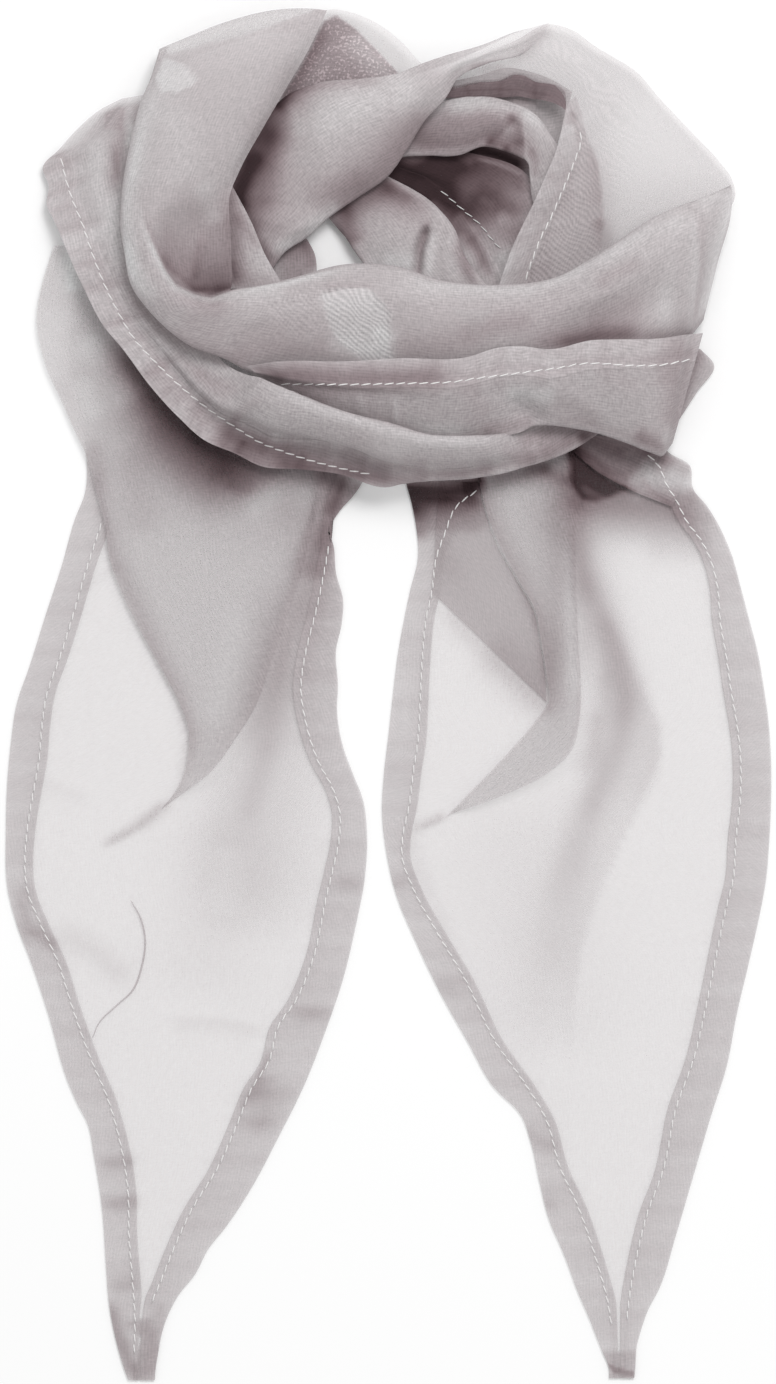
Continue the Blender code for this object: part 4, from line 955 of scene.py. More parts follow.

# Strokes and areas on the grid. Folds raise the cloth by so many mm, or lower it below 0, veils
# add layers, and shadows are painted shade that darkens, or painted light that lightens below 0.
# A stroke is how far it fades to the left of its line, how far to the right, the amount, and x
# and y of each point of the line in turn.
MARKS = {
    ("tail_left", "folds"): [
        (22, 26, 1.2, 200, 500, 270, 480, 370, 480), (9, 10, -0.7, 345, 490, 322, 560, 300, 640),
        (10, 12, 0.6, 105, 450, 122, 530, 160, 620, 195, 700),
        (4, 5, 0.6, 165, 803, 140, 824, 106, 847), (6, 9, 0.35, 51, 925, 95, 950, 136, 986),
        (7, 10, 0.3, 163, 1020, 220, 1018, 272, 1027),
    ],
    ("tail_left", "veils"): [
        (60, 1.2, 1.9, 325, 380, 322, 480, 308, 540, 296, 585, 270, 660, 250, 712),
        (66, 40, 1, 310, 560, 286, 660, 262, 740, 244, 820, 236, 960),
    ],
    ("tail_left", "shadows"): [
        (9, 9, -0.3, 66, 250, 70, 272, 74, 296), (9, 10, -0.2, 80, 372, 88, 396, 96, 424),
        (7, 8, 0.32, 110, 1296, 118, 1335, 130, 1366, 136, 1384),
        (8, 8, 0.14, 164, 1296, 156, 1340, 148, 1384),
        (50, 52, 0.4, 96, 300, 125, 352, 150, 386, 180, 419, 205, 441, 258, 465, 300, 474, 350,
         482),
        (28, 26, 0.46, 100, 330, 155, 400, 200, 444, 232, 462, 270, 470),
        (20, 26, 0.05, 190, 456, 215, 486, 245, 512), (22, 22, 0.1, 130, 440, 138, 500, 150, 540),
        (12, 14, 0.34, 318, 470, 338, 480, 352, 486),
        (14, 18, 0.26, 345, 486, 330, 520, 318, 552, 306, 590),
        (14, 3, 0.17, 98, 480, 110, 556, 145, 634, 176, 696, 188, 735, 176, 792),
        (20, 24, 0.18, 336, 520, 312, 590, 292, 640, 272, 700, 262, 770),
        (2.5, 6, 0.3, 172, 798, 150, 817, 132, 831, 112, 842, 100, 850),
        (5, 3, 0.12, 176, 800, 156, 817, 136, 832), (50, 50, 0.05, 210, 800, 205, 900, 190, 1010),
        (13, 14, 0.1, 51, 925, 95, 950, 136, 986), (3, 14, 0.07, 163, 1018, 220, 1020, 272, 1030),
        (4, 6, 0.05, 130, 560, 80, 590), (6, 9, 0.05, 38, 780, 90, 800),
        (6, 8, 0.22, 28, 926, 60, 948), (7, 7, 0.14, 96, 1165, 140, 1160),
        (7, 7, 0.16, 100, 1206, 142, 1200), (7, 9, 0.12, 108, 1290, 140, 1280),
        (7, 10, 0.17, 286, 1012, 336, 1010), (2.2, 2.6, 0.24, 272, 1046, 258, 1080, 238, 1116),
        (7, 9, 0.1, 236, 1120, 280, 1130), (8, 8, -0.06, 250, 1040, 310, 1060),
        (9, 9, 0.12, 330, 880, 366, 886), (18, 18, -0.1, 60, 300, 48, 340, 60, 390),
        (8, 8, 0.16, 94, 432, 99, 468, 103, 508),
        (16, 20, -0.34, 84, 326, 102, 356, 120, 386, 136, 412),
        (8, 8, -0.4, 70, 240, 72, 270, 76, 300), (6, 6, 0.18, 190, 424, 196, 432, 206, 444),
        (6, 6, 0.12, 226, 484, 240, 492, 256, 494), (6, 8, 0.24, 350, 482, 362, 492, 352, 506),
        (18, 18, 0.17, 136, 418, 162, 448, 190, 478, 232, 504),
        (18, 16, -0.12, 242, 590, 230, 660, 214, 740),
        (12, 12, 0.07, 270, 730, 258, 780, 244, 830),
        (16, 16, -0.06, 232, 840, 228, 880, 222, 920), (6, 7, 0.15, 24, 880, 24, 915, 30, 950),
        (9, 10, 0.1, 284, 1082, 268, 1106, 254, 1132),
        (20, 24, 0.13, 228, 452, 262, 468, 310, 474, 352, 478),
        (8, 8, -0.08, 300, 620, 296, 650, 292, 690), (9, 9, 0.12, 350, 486, 338, 500, 324, 516),
        (10, 14, -0.26, 236, 508, 285, 490, 330, 492),
        (12, 12, 0.12, 205, 470, 236, 482, 262, 486), (9, 9, -0.14, 264, 500, 285, 478, 304, 466),
        (14, 14, 0.2, 352, 470, 338, 498, 326, 530, 318, 560),
        (14, 16, -0.05, 215, 520, 250, 516, 290, 518),
    ],
    ("tail_left", "areas"): [
        Area([(129, 1322), (142, 1338), (136, 1360), (133, 1384), (158, 1384), (160, 1352),
              (150, 1318)], 5, 4.4, 0.08),
    ],
    ("tail_right", "folds"): [
        (14, 18, 0.7, 590, 520, 600, 600, 622, 690, 612, 800),
        (10, 10, 0.5, 560, 480, 565, 560, 562, 640, 560, 700),
        (4, 5, 0.5, 448, 816, 430, 824, 416, 830),
    ],
    ("tail_right", "veils"): [
        (1.2, 60, 0.5, 590, 560, 612, 628, 636, 680, 657, 725, 660, 752, 640, 800, 612, 862, 596,
         900, 581, 945, 574, 1000, 572, 1080),
        (5, 30, 0.5, 598, 590, 616, 634, 640, 680, 658, 725, 656, 770, 630, 824),
        (30, 1, 1.2, 573, 380, 575, 500, 574, 553, 576, 631, 577, 700),
        (20, 18, 0.5, 580, 520, 586, 560, 600, 600, 614, 640, 624, 680, 624, 720, 612, 770, 586,
         820, 566, 880, 554, 940, 548, 1000),
        (70, 70, 0.28, 500, 780, 520, 860, 540, 960, 556, 1080),
        (26, 22, 1.5, 540, 512, 600, 516, 660, 520, 730, 524),
    ],
    ("tail_right", "shadows"): [
        (7, 7, -0.24, 664, 470, 680, 478, 694, 488), (4, 4, 0.4, 582, 464, 595, 475, 608, 484),
        (5, 5, -0.12, 616, 482, 630, 494, 642, 500), (6, 6, 0.34, 580, 474, 596, 485, 616, 491),
        (9, 9, 0.24, 538, 466, 556, 476, 574, 484), (6, 6, 0.22, 642, 452, 656, 460, 668, 466),
        (14, 14, 0.54, 390, 484, 420, 488, 450, 490, 490, 480),
        (8, 10, 0.4, 460, 482, 474, 480, 488, 476), (8, 9, 0.35, 484, 480, 520, 474, 556, 462),
        (12, 12, 0.45, 398, 484, 412, 510, 420, 545),
        (15, 3, 0.18, 476, 460, 490, 520, 520, 582, 543, 640, 553, 730),
        (18, 22, 0.13, 545, 480, 558, 560, 562, 640, 556, 700),
        (2, 1.5, 0.1, 576, 560, 578, 640, 579, 720, 560, 764),
        (15, 14, 0.13, 576, 480, 578, 530, 583, 565, 598, 604, 611, 645, 620, 690, 618, 740, 600,
         780, 576, 840, 560, 900, 548, 960),
        (7, 10, -0.2, 566, 530, 572, 570, 574, 620, 577, 710),
        (2, 14, 0.17, 432, 594, 470, 632, 508, 668, 546, 704, 560, 716),
        (14, 15, 0.24, 520, 462, 552, 476, 590, 484),
        (12, 14, 0.14, 540, 504, 600, 503, 650, 506, 710, 512),
        (7, 7, 0.1, 668, 506, 690, 524, 706, 548),
        (8, 8, 0.07, 412, 810, 416, 856, 432, 900, 456, 948),
        (12, 12, 0.09, 600, 600, 620, 650, 630, 700, 622, 740),
        (9, 10, 0.1, 596, 704, 592, 740, 580, 780), (6, 9, -0.05, 428, 890, 434, 930, 446, 960),
        (9, 9, 0.42, 624, 430, 646, 442, 664, 456, 676, 468),
        (7, 4, 0.42, 562, 440, 576, 452, 592, 464, 606, 475, 622, 486, 642, 498),
        (9, 9, 0.16, 584, 434, 606, 446, 630, 456), (5, 7, -0.2, 642, 474, 662, 480, 682, 486),
        (14, 16, 0.2, 570, 420, 576, 470, 577, 520, 578, 570, 592, 620),
        (18, 18, 0.14, 560, 508, 610, 514, 660, 520, 720, 528),
        (14, 15, 0.2, 540, 498, 590, 500, 640, 501, 690, 504, 720, 512),
        (20, 19, 0.42, 385, 500, 420, 502, 450, 502, 486, 498),
        (26, 26, 0.12, 480, 640, 505, 668, 540, 700, 545, 724),
        (3, 9, 0.42, 560, 434, 580, 463, 592, 477, 610, 486, 644, 494),
        (2.5, 6, 0.26, 448, 815, 432, 823, 414, 831), (12, 12, 0.06, 440, 484, 438, 540, 460, 590),
        (3, 4, 0.16, 640, 476, 652, 492, 676, 506), (7, 7, 0.14, 700, 490, 680, 505),
        (6, 6, 0.12, 388, 884, 410, 880), (10, 12, 0.1, 430, 990, 470, 985),
        (8, 10, 0.12, 520, 1130, 560, 1150), (9, 9, 0.2, 545, 1205, 560, 1200),
        (14, 12, -0.05, 556, 960, 558, 1020, 556, 1090),
        (12, 12, -0.08, 590, 800, 574, 846, 562, 900, 552, 950),
        (9, 10, 0.09, 606, 660, 602, 700, 598, 740, 592, 776),
        (14, 16, 0.08, 640, 548, 676, 548, 720, 556), (7, 9, 0.22, 478, 470, 476, 492, 478, 515),
        (7, 7, -0.09, 402, 650, 400, 700, 398, 740), (8, 8, -0.05, 440, 980, 470, 1040),
        (9, 9, 0.05, 716, 560, 770, 600),
    ],
    ("tail_right", "areas"): [
        Area([(412, 498), (481, 498), (485, 507), (490, 522), (478, 532), (430, 530), (416, 520)],
             6, 0, 0.15),
        Area([(564, 436), (600, 430), (640, 444), (650, 452), (640, 468), (626, 482), (606, 473),
              (590, 461), (572, 449)], 11, 0, 0.46),
        Area([(564, 446), (578, 455), (590, 465), (604, 475), (626, 488), (612, 497), (596, 502),
              (582, 500), (571, 486)], 8, 0, 0.4),
        Area([(602, 1352), (624, 1352), (640, 1350), (640, 1384), (604, 1384)], 4, 4.2, 0.06),
        Area([(606, 1362), (616, 1367), (634, 1371), (634, 1376), (614, 1374)], 2, 6, 0.3),
    ],
    ("front_roll", "folds"): [
        (9, 10, 0.9, 580, 300, 620, 272, 660, 250, 718, 216),
        (20, 22, -0.3, 540, 344, 610, 320, 680, 286), (5, 6, 0.9, 205, 235, 198, 262, 190, 286),
        (7, 8, 0.6, 232, 350, 250, 325, 275, 312), (5, 6, 0.5, 684, 240, 686, 290, 682, 330),
    ],
    ("front_roll", "veils"): [
        (8, 8, -1.2, 228, 346, 250, 325, 272, 312),
    ],
    ("front_roll", "shadows"): [
        (11, 11, -0.28, 322, 342, 356, 352, 402, 354), (8, 8, -0.24, 372, 330, 386, 338, 398, 344),
        (15, 12, -0.07, 344, 330, 368, 342, 390, 352), (6, 8, 0.09, 320, 291, 340, 296, 364, 293),
        (14, 12, -0.22, 202, 180, 211, 206, 220, 230),
        (16, 18, -0.09, 172, 48, 158, 90, 148, 130, 143, 170, 140, 205),
        (11, 11, 0.14, 180, 318, 205, 332, 232, 340), (6, 8, -0.12, 236, 300, 262, 296, 290, 296),
        (6, 7, 0.12, 640, 344, 670, 342, 700, 336), (6, 6, -0.12, 158, 222, 160, 242, 164, 262),
        (6, 6, 0.16, 536, 352, 572, 346, 596, 342, 640, 339, 700, 334),
        (16, 42, 0.32, 228, 176, 224, 220, 219, 260, 212, 334),
        (26, 4, 0.3, 140, 214, 170, 268, 196, 290, 240, 290, 272, 286),
        (10, 12, -0.14, 156, 70, 140, 140, 131, 200, 132, 262, 148, 300),
        (12, 12, -0.08, 150, 56, 190, 50, 240, 36, 290, 22),
        (6, 14, 0.14, 304, 60, 284, 92, 262, 126, 244, 156),
        (14, 14, 0.08, 216, 330, 240, 332, 280, 330, 320, 340),
        (14, 9, 0.2, 520, 348, 560, 342, 596, 334, 650, 328),
        (13, 13, 0.12, 580, 328, 612, 312, 648, 306), (10, 8, 0.23, 548, 348, 592, 340, 644, 336),
        (9, 10, 0.13, 690, 292, 686, 320, 680, 342), (8, 8, 0.2, 590, 292, 612, 276, 644, 262),
        (4, 12, -0.12, 590, 272, 636, 240, 698, 212), (9, 9, -0.1, 664, 280, 662, 310, 660, 336),
        (6, 9, -0.1, 536, 284, 564, 278, 588, 266),
        (9, 9, -0.2, 124, 236, 132, 268, 148, 292, 166, 302),
        (9, 9, -0.08, 284, 330, 300, 340, 316, 346), (13, 12, 0.2, 452, 338, 496, 328, 540, 324),
        (8, 12, -0.1, 380, 286, 440, 294, 500, 296, 560, 290),
        (6, 6, -0.1, 400, 262, 430, 272, 460, 280), (8, 10, 0.1, 318, 292, 346, 290, 380, 292),
        (24, 24, 0.05, 240, 330, 400, 320, 520, 312, 640, 280),
        (9, 2.5, 0.1, 203, 232, 196, 262, 192, 286),
        (7, 1, 0.24, 154, 240, 160, 254, 167, 270, 177, 285, 192, 292, 212, 296, 234, 288, 262,
         282),
        (0.8, 5, -0.34, 140, 196, 146, 228, 157, 255, 166, 274, 178, 290, 194, 297, 212, 301, 240,
         292, 280, 286, 320, 276, 345, 270, 364, 268),
        (2, 7, -0.12, 364, 268, 400, 274, 430, 286, 490, 290, 530, 290, 560, 281, 600, 259, 655,
         221, 700, 203),
        (7, 3, -0.14, 146, 110, 136, 160, 127, 200, 126, 240, 134, 286, 152, 308),
        (10, 12, -0.06, 170, 305, 205, 330, 240, 345),
        (20, 20, -0.05, 150, 100, 190, 140, 200, 190),
        (16, 14, -0.05, 178, 100, 175, 150, 176, 200),
        (12, 10, 0.2, 160, 330, 190, 350, 225, 364, 262, 368),
        (18, 18, 0.24, 195, 348, 243, 354, 300, 352, 360, 354, 430, 352, 510, 343),
        (10, 12, 0.12, 500, 345, 550, 346, 600, 336, 660, 330, 700, 326),
        (18, 20, 0.09, 520, 330, 590, 322, 660, 296), (9, 9, -0.06, 560, 300, 620, 268, 670, 246),
        (2, 9, -0.14, 694, 208, 696, 270, 688, 335), (5, 1.5, 0.12, 698, 208, 700, 270, 692, 335),
        (9, 10, -0.06, 676, 200, 672, 250, 668, 300, 664, 335),
        (4, 8, -0.22, 736, 186, 728, 212, 716, 250, 708, 296, 703, 330),
        (5, 16, -0.16, 690, 204, 712, 198, 736, 190),
        (8, 8, -0.1, 324, 20, 300, 68, 270, 113, 240, 170, 229, 200),
        (1.5, 7, 0.18, 229, 200, 232, 240, 232, 288), (3, 4, -0.12, 210, 300, 228, 302, 244, 299),
    ],
    ("front_roll", "areas"): [
        Area([(165, 60), (177, 64), (190, 72), (198, 84), (193, 91), (177, 96), (163, 95),
              (156, 80)], 1.6, 0, -0.24),
        Area([(150, 60), (157, 57), (177, 55), (209, 46), (245, 39), (281, 25), (313, 14),
              (318, 0), (150, 0)], 2.5, 1.7, -0.04),
        Area([(321, 294), (330, 330), (340, 346), (358, 358), (366, 364), (393, 363), (390, 322),
              (392, 316), (376, 298), (366, 290), (340, 290)], 2.5, 3.5, -0.2, 1),
        Area([(455, 312), (492, 312), (473, 344)], 5, 4, -0.09),
        Area([(270, 306), (300, 296), (318, 300), (322, 330), (300, 340), (276, 330)],
             16, 0, 0, 0.4),
    ],
    ("front_band", "folds"): [
        (3, 4, 0.6, 392, 394, 398, 430), (3, 4, 0.5, 356, 390, 362, 420),
        (9, 10, 0.7, 540, 385, 575, 400, 610, 425),
    ],
    ("front_band", "shadows"): [
        (8, 8, 0.26, 632, 434, 652, 446, 668, 452), (7, 7, 0.16, 292, 392, 310, 402, 332, 408),
        (18, 4, 0.2, 243, 370, 262, 376, 290, 392, 320, 404, 350, 415, 400, 430, 450, 440, 515,
         434),
        (7, 7, 0.2, 250, 370, 270, 376, 290, 384),
        (3, 9, 0.07, 280, 390, 350, 391, 400, 390, 455, 388, 500, 383, 560, 375),
        (9, 14, 0.13, 462, 384, 476, 400, 490, 420), (10, 12, 0.1, 540, 404, 575, 410, 606, 424),
        (9, 9, -0.26, 500, 396, 526, 398, 560, 398), (9, 9, 0.25, 474, 434, 506, 429, 540, 422),
        (12, 14, 0.12, 648, 352, 660, 370, 662, 392), (10, 10, 0.14, 630, 430, 648, 438, 664, 440),
        (9, 8, -0.19, 398, 418, 424, 428, 468, 432),
        (14, 13, 0.44, 250, 372, 290, 376, 340, 380, 400, 381, 470, 376),
        (8, 8, 0.04, 560, 360, 600, 372, 640, 376),
        (16, 15, 0.26, 676, 326, 680, 366, 676, 396, 668, 444),
        (8, 8, -0.08, 530, 362, 550, 368, 570, 368), (6, 4, -0.16, 415, 431, 450, 433, 478, 431),
        (8, 8, 0.08, 600, 376, 622, 384, 640, 392),
        (7, 5, 0.12, 545, 424, 580, 424, 620, 436, 655, 450), (2, 2, -0.16, 394, 392, 398, 430),
        (2.5, 2.5, -0.1, 360, 392, 364, 420), (10, 10, -0.02, 410, 396, 450, 400, 500, 396),
        (2, 2, -0.12, 240, 362, 345, 363, 400, 360, 460, 358, 500, 349, 548, 350, 590, 342, 700,
         333),
    ],
    ("lower_band", "folds"): [
        (4, 5, 0.8, 112, 136, 122, 168, 126, 200), (5, 7, 0.4, 232, 420, 246, 404, 262, 398),
    ],
    ("lower_band", "shadows"): [
        (6, 5, -0.26, 132, 104, 131, 126, 127, 150),
        (9, 9, 0.18, 178, 352, 192, 370, 206, 386, 236, 404),
        (5, 5, 0.22, 196, 432, 232, 452, 260, 465, 330, 474),
        (6, 6, 0.14, 505, 458, 522, 461, 540, 458),
        (7, 9, 0.3, 142, 98, 127, 130, 118, 160, 112, 200),
        (3, 8, 0.2, 126, 270, 136, 300, 152, 318, 175, 338, 205, 356, 243, 371, 256, 376),
        (9, 9, -0.18, 118, 190, 117, 225, 120, 275), (7, 7, -0.15, 180, 350, 204, 362, 244, 378),
        (8, 8, 0.16, 190, 366, 214, 382, 246, 396),
        (12, 12, 0.22, 208, 424, 240, 446, 280, 460, 322, 468),
        (9, 9, 0.14, 496, 452, 520, 456, 546, 456), (6, 6, -0.12, 196, 336, 218, 350, 250, 366),
        (6, 6, -0.2, 124, 118, 134, 134, 132, 150),
        (13, 13, 0.14, 142, 356, 166, 384, 190, 403, 216, 422),
        (14, 16, 0.34, 200, 412, 226, 432, 250, 446, 300, 462, 350, 473, 420, 486),
        (8, 8, 0.08, 216, 404, 230, 414, 246, 420), (8, 6, -0.07, 380, 450, 430, 450, 480, 446),
        (9, 12, 0.16, 536, 456, 560, 447, 580, 440), (2, 6, 0.12, 112, 136, 118, 160, 124, 190),
        (7, 7, -0.12, 126, 140, 132, 158), (14, 14, -0.16, 96, 130, 98, 175, 112, 240),
        (9, 6, -0.06, 60, 160, 72, 200, 100, 270),
        (14, 14, -0.1, 165, 345, 200, 386, 240, 414, 300, 440),
        (2, 9, -0.14, 246, 372, 280, 390, 320, 408, 370, 424, 420, 438, 480, 440, 520, 437),
        (9, 9, -0.03, 200, 380, 240, 392, 290, 415, 345, 432),
        (12, 10, 0.12, 180, 405, 230, 436, 290, 452, 345, 464, 400, 470, 470, 468),
        (6, 6, 0.2, 280, 462, 345, 474, 400, 482, 470, 474, 530, 460),
        (10, 12, 0.32, 510, 444, 550, 432, 600, 426), (6, 14, 0.34, 574, 440, 590, 436, 612, 428),
        (8, 8, 0.15, 525, 462, 560, 446, 595, 432), (4, 7, 0.12, 228, 430, 246, 408, 266, 398),
        (4, 4, 0.1, 300, 462, 308, 452), (5, 5, 0.06, 352, 448, 362, 436),
        (3, 3, 0.1, 50, 186, 66, 182), (3, 3, 0.1, 52, 212, 72, 206),
        (4, 4, 0.1, 78, 268, 98, 258), (4, 4, 0.08, 110, 330, 128, 318),
        (5, 4, 0.12, 196, 436, 206, 420), (4, 4, 0.12, 236, 456, 246, 440),
        (4, 4, 0.1, 160, 402, 172, 386),
    ],
    ("lower_band", "areas"): [
        Area([(105, 114), (118, 107), (125, 108), (123, 131), (104, 130)], 3, 7, 0.16, 0, 0.25),
        Area([(98, 96), (145, 86), (145, 106), (118, 106), (104, 113), (94, 126), (80, 142),
              (66, 150), (50, 150)], 5, 2.4, -0.04),
    ],
    ("cross_strand", "folds"): [
        (24, 26, -0.5, 275, 110, 292, 165, 286, 230), (5, 6, 0.7, 262, 262, 292, 236, 326, 214),
        (5, 6, 0.4, 455, 82, 478, 66, 510, 56),
    ],
    ("cross_strand", "shadows"): [
        (25, 14, 0.72, 312, 44, 298, 72, 284, 94, 268, 118, 252, 146, 240, 172, 234, 196, 244, 226,
         262, 262, 282, 300),
        (17, 15, 0.36, 281, 118, 274, 150, 269, 182, 263, 222),
        (8, 8, 0.22, 294, 82, 284, 98, 275, 114),
        (22, 20, 0.09, 300, 160, 294, 190, 290, 215, 300, 232),
        (10, 11, 0.26, 262, 148, 250, 176, 240, 198, 240, 220),
        (12, 12, -0.12, 390, 112, 418, 106, 448, 104), (9, 9, -0.26, 254, 230, 276, 246, 304, 254),
        (7, 7, -0.16, 290, 102, 297, 122, 300, 142), (7, 7, -0.3, 342, 202, 326, 218, 304, 238),
        (10, 34, 0.42, 448, 96, 432, 124, 410, 148, 386, 178, 360, 202, 334, 220, 316, 232),
        (6, 7, 0.24, 286, 92, 310, 88, 350, 84, 390, 80),
        (26, 24, -0.18, 296, 136, 330, 116, 370, 106, 430, 76),
        (14, 12, 0.1, 300, 205, 330, 190, 372, 175), (3, 5, -0.14, 268, 258, 288, 242, 312, 230),
        (3, 3, 0.14, 276, 268, 300, 246),
        (3, 4, 0.14, 456, 80, 480, 68, 500, 64, 520, 58, 536, 42),
        (5, 5, 0.14, 466, 68, 488, 66, 506, 62), (4, 5, -0.14, 506, 70, 520, 68, 532, 64),
        (4, 5, -0.06, 430, 66, 480, 48, 530, 34),
    ],
    ("top_loop", "folds"): [
        (9, 12, 0.6, 556, 30, 590, 90, 604, 150, 602, 210),
        (6, 10, 0.5, 600, 250, 650, 215, 725, 190),
    ],
    ("top_loop", "veils"): [
        (12, 7, 0.35, 556, 26, 590, 44, 632, 72, 662, 100, 700, 140, 730, 176),
        (16, 18, 0.6, 590, 90, 600, 160, 600, 230),
        (12, 14, 0.25, 600, 262, 640, 234, 700, 205, 735, 192),
        (26, 26, 0.6, 510, 58, 560, 60, 600, 90, 620, 130),
    ],
    ("top_loop", "shadows"): [
        (4, 4, 0.18, 478, 72, 492, 69, 506, 67), (4, 4, -0.18, 514, 248, 505, 270, 500, 292),
        (6, 6, 0.12, 496, 40, 520, 34, 556, 30), (12, 12, 0.06, 602, 150, 606, 200, 600, 240),
        (7, 8, 0.12, 554, 24, 534, 44, 510, 60), (8, 9, 0.26, 596, 216, 606, 236, 606, 256),
        (2, 2, -0.12, 562, 118, 556, 150, 541, 185, 520, 225, 500, 272),
        (5, 5, 0.16, 572, 112, 568, 128), (8, 6, 0.02, 528, 212, 512, 246, 502, 268),
        (14, 8, 0.01, 552, 214, 536, 252, 526, 284), (3, 14, 0.12, 590, 140, 598, 175, 600, 215),
        (4, 4, 0.12, 545, 175, 556, 178), (2, 3, 0.14, 466, 82, 470, 102),
        (2, 2, -0.1, 488, 80, 486, 102), (2, 3, 0.12, 502, 78, 500, 102),
        (3, 2, -0.08, 520, 74, 524, 104), (2, 3, 0.14, 536, 80, 534, 106),
        (1.2, 1.2, 0.16, 452, 92, 500, 90, 520, 90, 560, 99),
    ],
    ("top_loop", "areas"): [
        Area([(440, 90), (478, 81), (500, 79), (514, 73), (524, 74), (534, 80), (555, 85),
              (565, 91), (566, 110), (556, 107), (530, 101), (505, 100), (478, 99), (440, 100)],
             2.5, 0, 0.2),
        Area([(568, 104), (584, 132), (597, 165), (601, 192), (603, 215), (600, 252), (530, 300),
              (524, 286), (560, 200), (578, 150)], 3, 3.8, 0.13, 0.7),
        Area([(520, 60), (560, 30), (600, 60), (640, 110), (640, 180), (605, 200), (590, 120),
              (560, 82)], 30, 0, 0, 0.55),
    ],
    ("inner_roll", "folds"): [
        (3, 4, 0.5, 522, 112, 524, 130, 525, 160, 530, 200), (8, 9, -0.35, 494, 146, 518, 118),
    ],
    ("inner_roll", "shadows"): [
        (6, 6, 0.24, 528, 146, 535, 162, 534, 182), (6, 7, 0.2, 484, 140, 496, 146, 512, 152),
        (5, 6, -0.14, 446, 112, 462, 111, 478, 112),
        (18, 14, 0.4, 390, 140, 450, 126, 486, 122, 530, 112),
        (7, 8, -0.3, 436, 104, 480, 104, 512, 110, 530, 118, 548, 134),
        (12, 12, 0.44, 400, 150, 450, 148, 480, 144, 500, 142, 544, 158),
        (9, 9, 0.32, 510, 108, 518, 128, 522, 152), (6, 6, -0.14, 500, 112, 506, 124, 508, 136),
        (6, 6, -0.24, 540, 108, 552, 118, 560, 134),
        (4, 3, -0.1, 404, 156, 440, 152, 474, 148, 492, 140, 508, 122),
        (7, 2.5, 0.2, 484, 148, 500, 134, 518, 116), (6, 8, 0.24, 500, 150, 522, 160),
        (4, 1.5, -0.16, 523, 114, 525, 140, 526, 165, 531, 200),
        (8, 8, -0.04, 536, 130, 546, 150, 536, 180), (8, 8, 0.14, 430, 108, 412, 140, 398, 162),
    ],
    ("inner_strand", "folds"): [
        (4, 5, -1.6, 429, 224, 420, 250, 416, 282), (5, 6, 0.8, 446, 236, 447, 262, 450, 290),
    ],
    ("inner_strand", "shadows"): [
        (9, 14, 0.3, 334, 216, 362, 200, 400, 180), (10, 3, 0.14, 328, 222, 342, 240, 362, 270),
        (2, 6, 0.4, 431, 216, 422, 248, 417, 290), (4, 3, -0.14, 436, 228, 431, 250, 428, 282),
        (5, 5, -0.08, 450, 232, 452, 258, 456, 285), (6, 6, 0.3, 458, 226, 466, 262, 476, 292),
        (1.5, 3, -0.12, 400, 182, 436, 204, 456, 228, 472, 256, 488, 284),
        (15, 22, 0.32, 330, 192, 384, 194, 440, 212), (14, 14, 0.52, 326, 194, 344, 222, 358, 252),
        (4, 12, 0.3, 370, 168, 396, 188, 418, 204), (9, 9, -0.18, 380, 262, 400, 262, 420, 264),
        (7, 7, 0.16, 452, 242, 460, 262, 468, 280), (14, 20, -0.12, 360, 262, 400, 264, 440, 262),
    ],
    ("inner_back", "folds"): [
        (7, 8, 0.6, 470, 200, 484, 190, 500, 196),
    ],
    ("inner_back", "shadows"): [
        (20, 22, 0.17, 466, 190, 498, 210, 534, 222), (9, 9, 0.14, 520, 164, 523, 196),
        (6, 7, 0.44, 394, 176, 414, 190, 432, 204), (7, 7, 0.2, 464, 236, 478, 252, 486, 272),
        (5, 6, -0.1, 450, 156, 464, 160, 476, 164),
        (20, 20, 0.5, 340, 172, 400, 160, 450, 156, 490, 160, 560, 184),
        (18, 24, 0.66, 350, 160, 410, 180, 440, 196, 484, 246),
        (40, 40, 0.34, 410, 150, 480, 190, 540, 240), (26, 24, 0.28, 420, 154, 466, 182, 510, 212),
        (12, 14, -0.24, 496, 250, 510, 268, 524, 290), (8, 8, -0.24, 494, 216, 512, 222, 536, 218),
        (7, 7, -0.24, 454, 214, 468, 226, 480, 232), (6, 8, -0.16, 512, 168, 528, 176, 534, 190),
        (10, 14, 0.14, 500, 196, 520, 226, 516, 256), (5, 6, 0.16, 466, 226, 480, 250, 492, 282),
        (1.5, 2, -0.2, 474, 158, 500, 165, 524, 176), (5, 5, -0.08, 478, 198, 496, 206),
    ],
    ("loop_back", "shadows"): [
        (14, 12, 0.95, 430, 150, 480, 150, 505, 158, 536, 176),
        (6, 6, 0.3, 450, 96, 500, 98, 545, 104),
    ],
    ("top_back", "shadows"): [
        (14, 8, 0.2, 280, 110, 306, 66, 330, 20), (14, 14, -0.2, 346, 30, 372, 62, 400, 92),
    ],
    ("top_back", "areas"): [
        Area([(280, 100), (299, 71), (313, 46), (324, 22), (336, 16), (356, 30), (376, 50),
              (398, 74), (398, 100)], 3, 5.5, 0.38, 0, 1),
    ],
    ("side_fold", "shadows"): [
        (9, 9, 0.36, 704, 336, 690, 372, 680, 400, 670, 432), (7, 7, 0.05, 712, 362, 700, 390),
    ],
    ("inner_fold", "shadows"): [
        (7, 7, 0.2, 236, 212, 250, 234, 262, 254), (5, 5, 0.2, 232, 258, 235, 290),
        (12, 12, 0.44, 229, 170, 233, 230, 238, 300), (5, 12, -0.1, 256, 240, 268, 264, 284, 296),
        (3, 2, -0.06, 236, 194, 252, 226, 266, 256, 280, 284),
        (9, 9, 0.16, 232, 276, 256, 284, 284, 282),
    ],
    ("back_fold", "shadows"): [
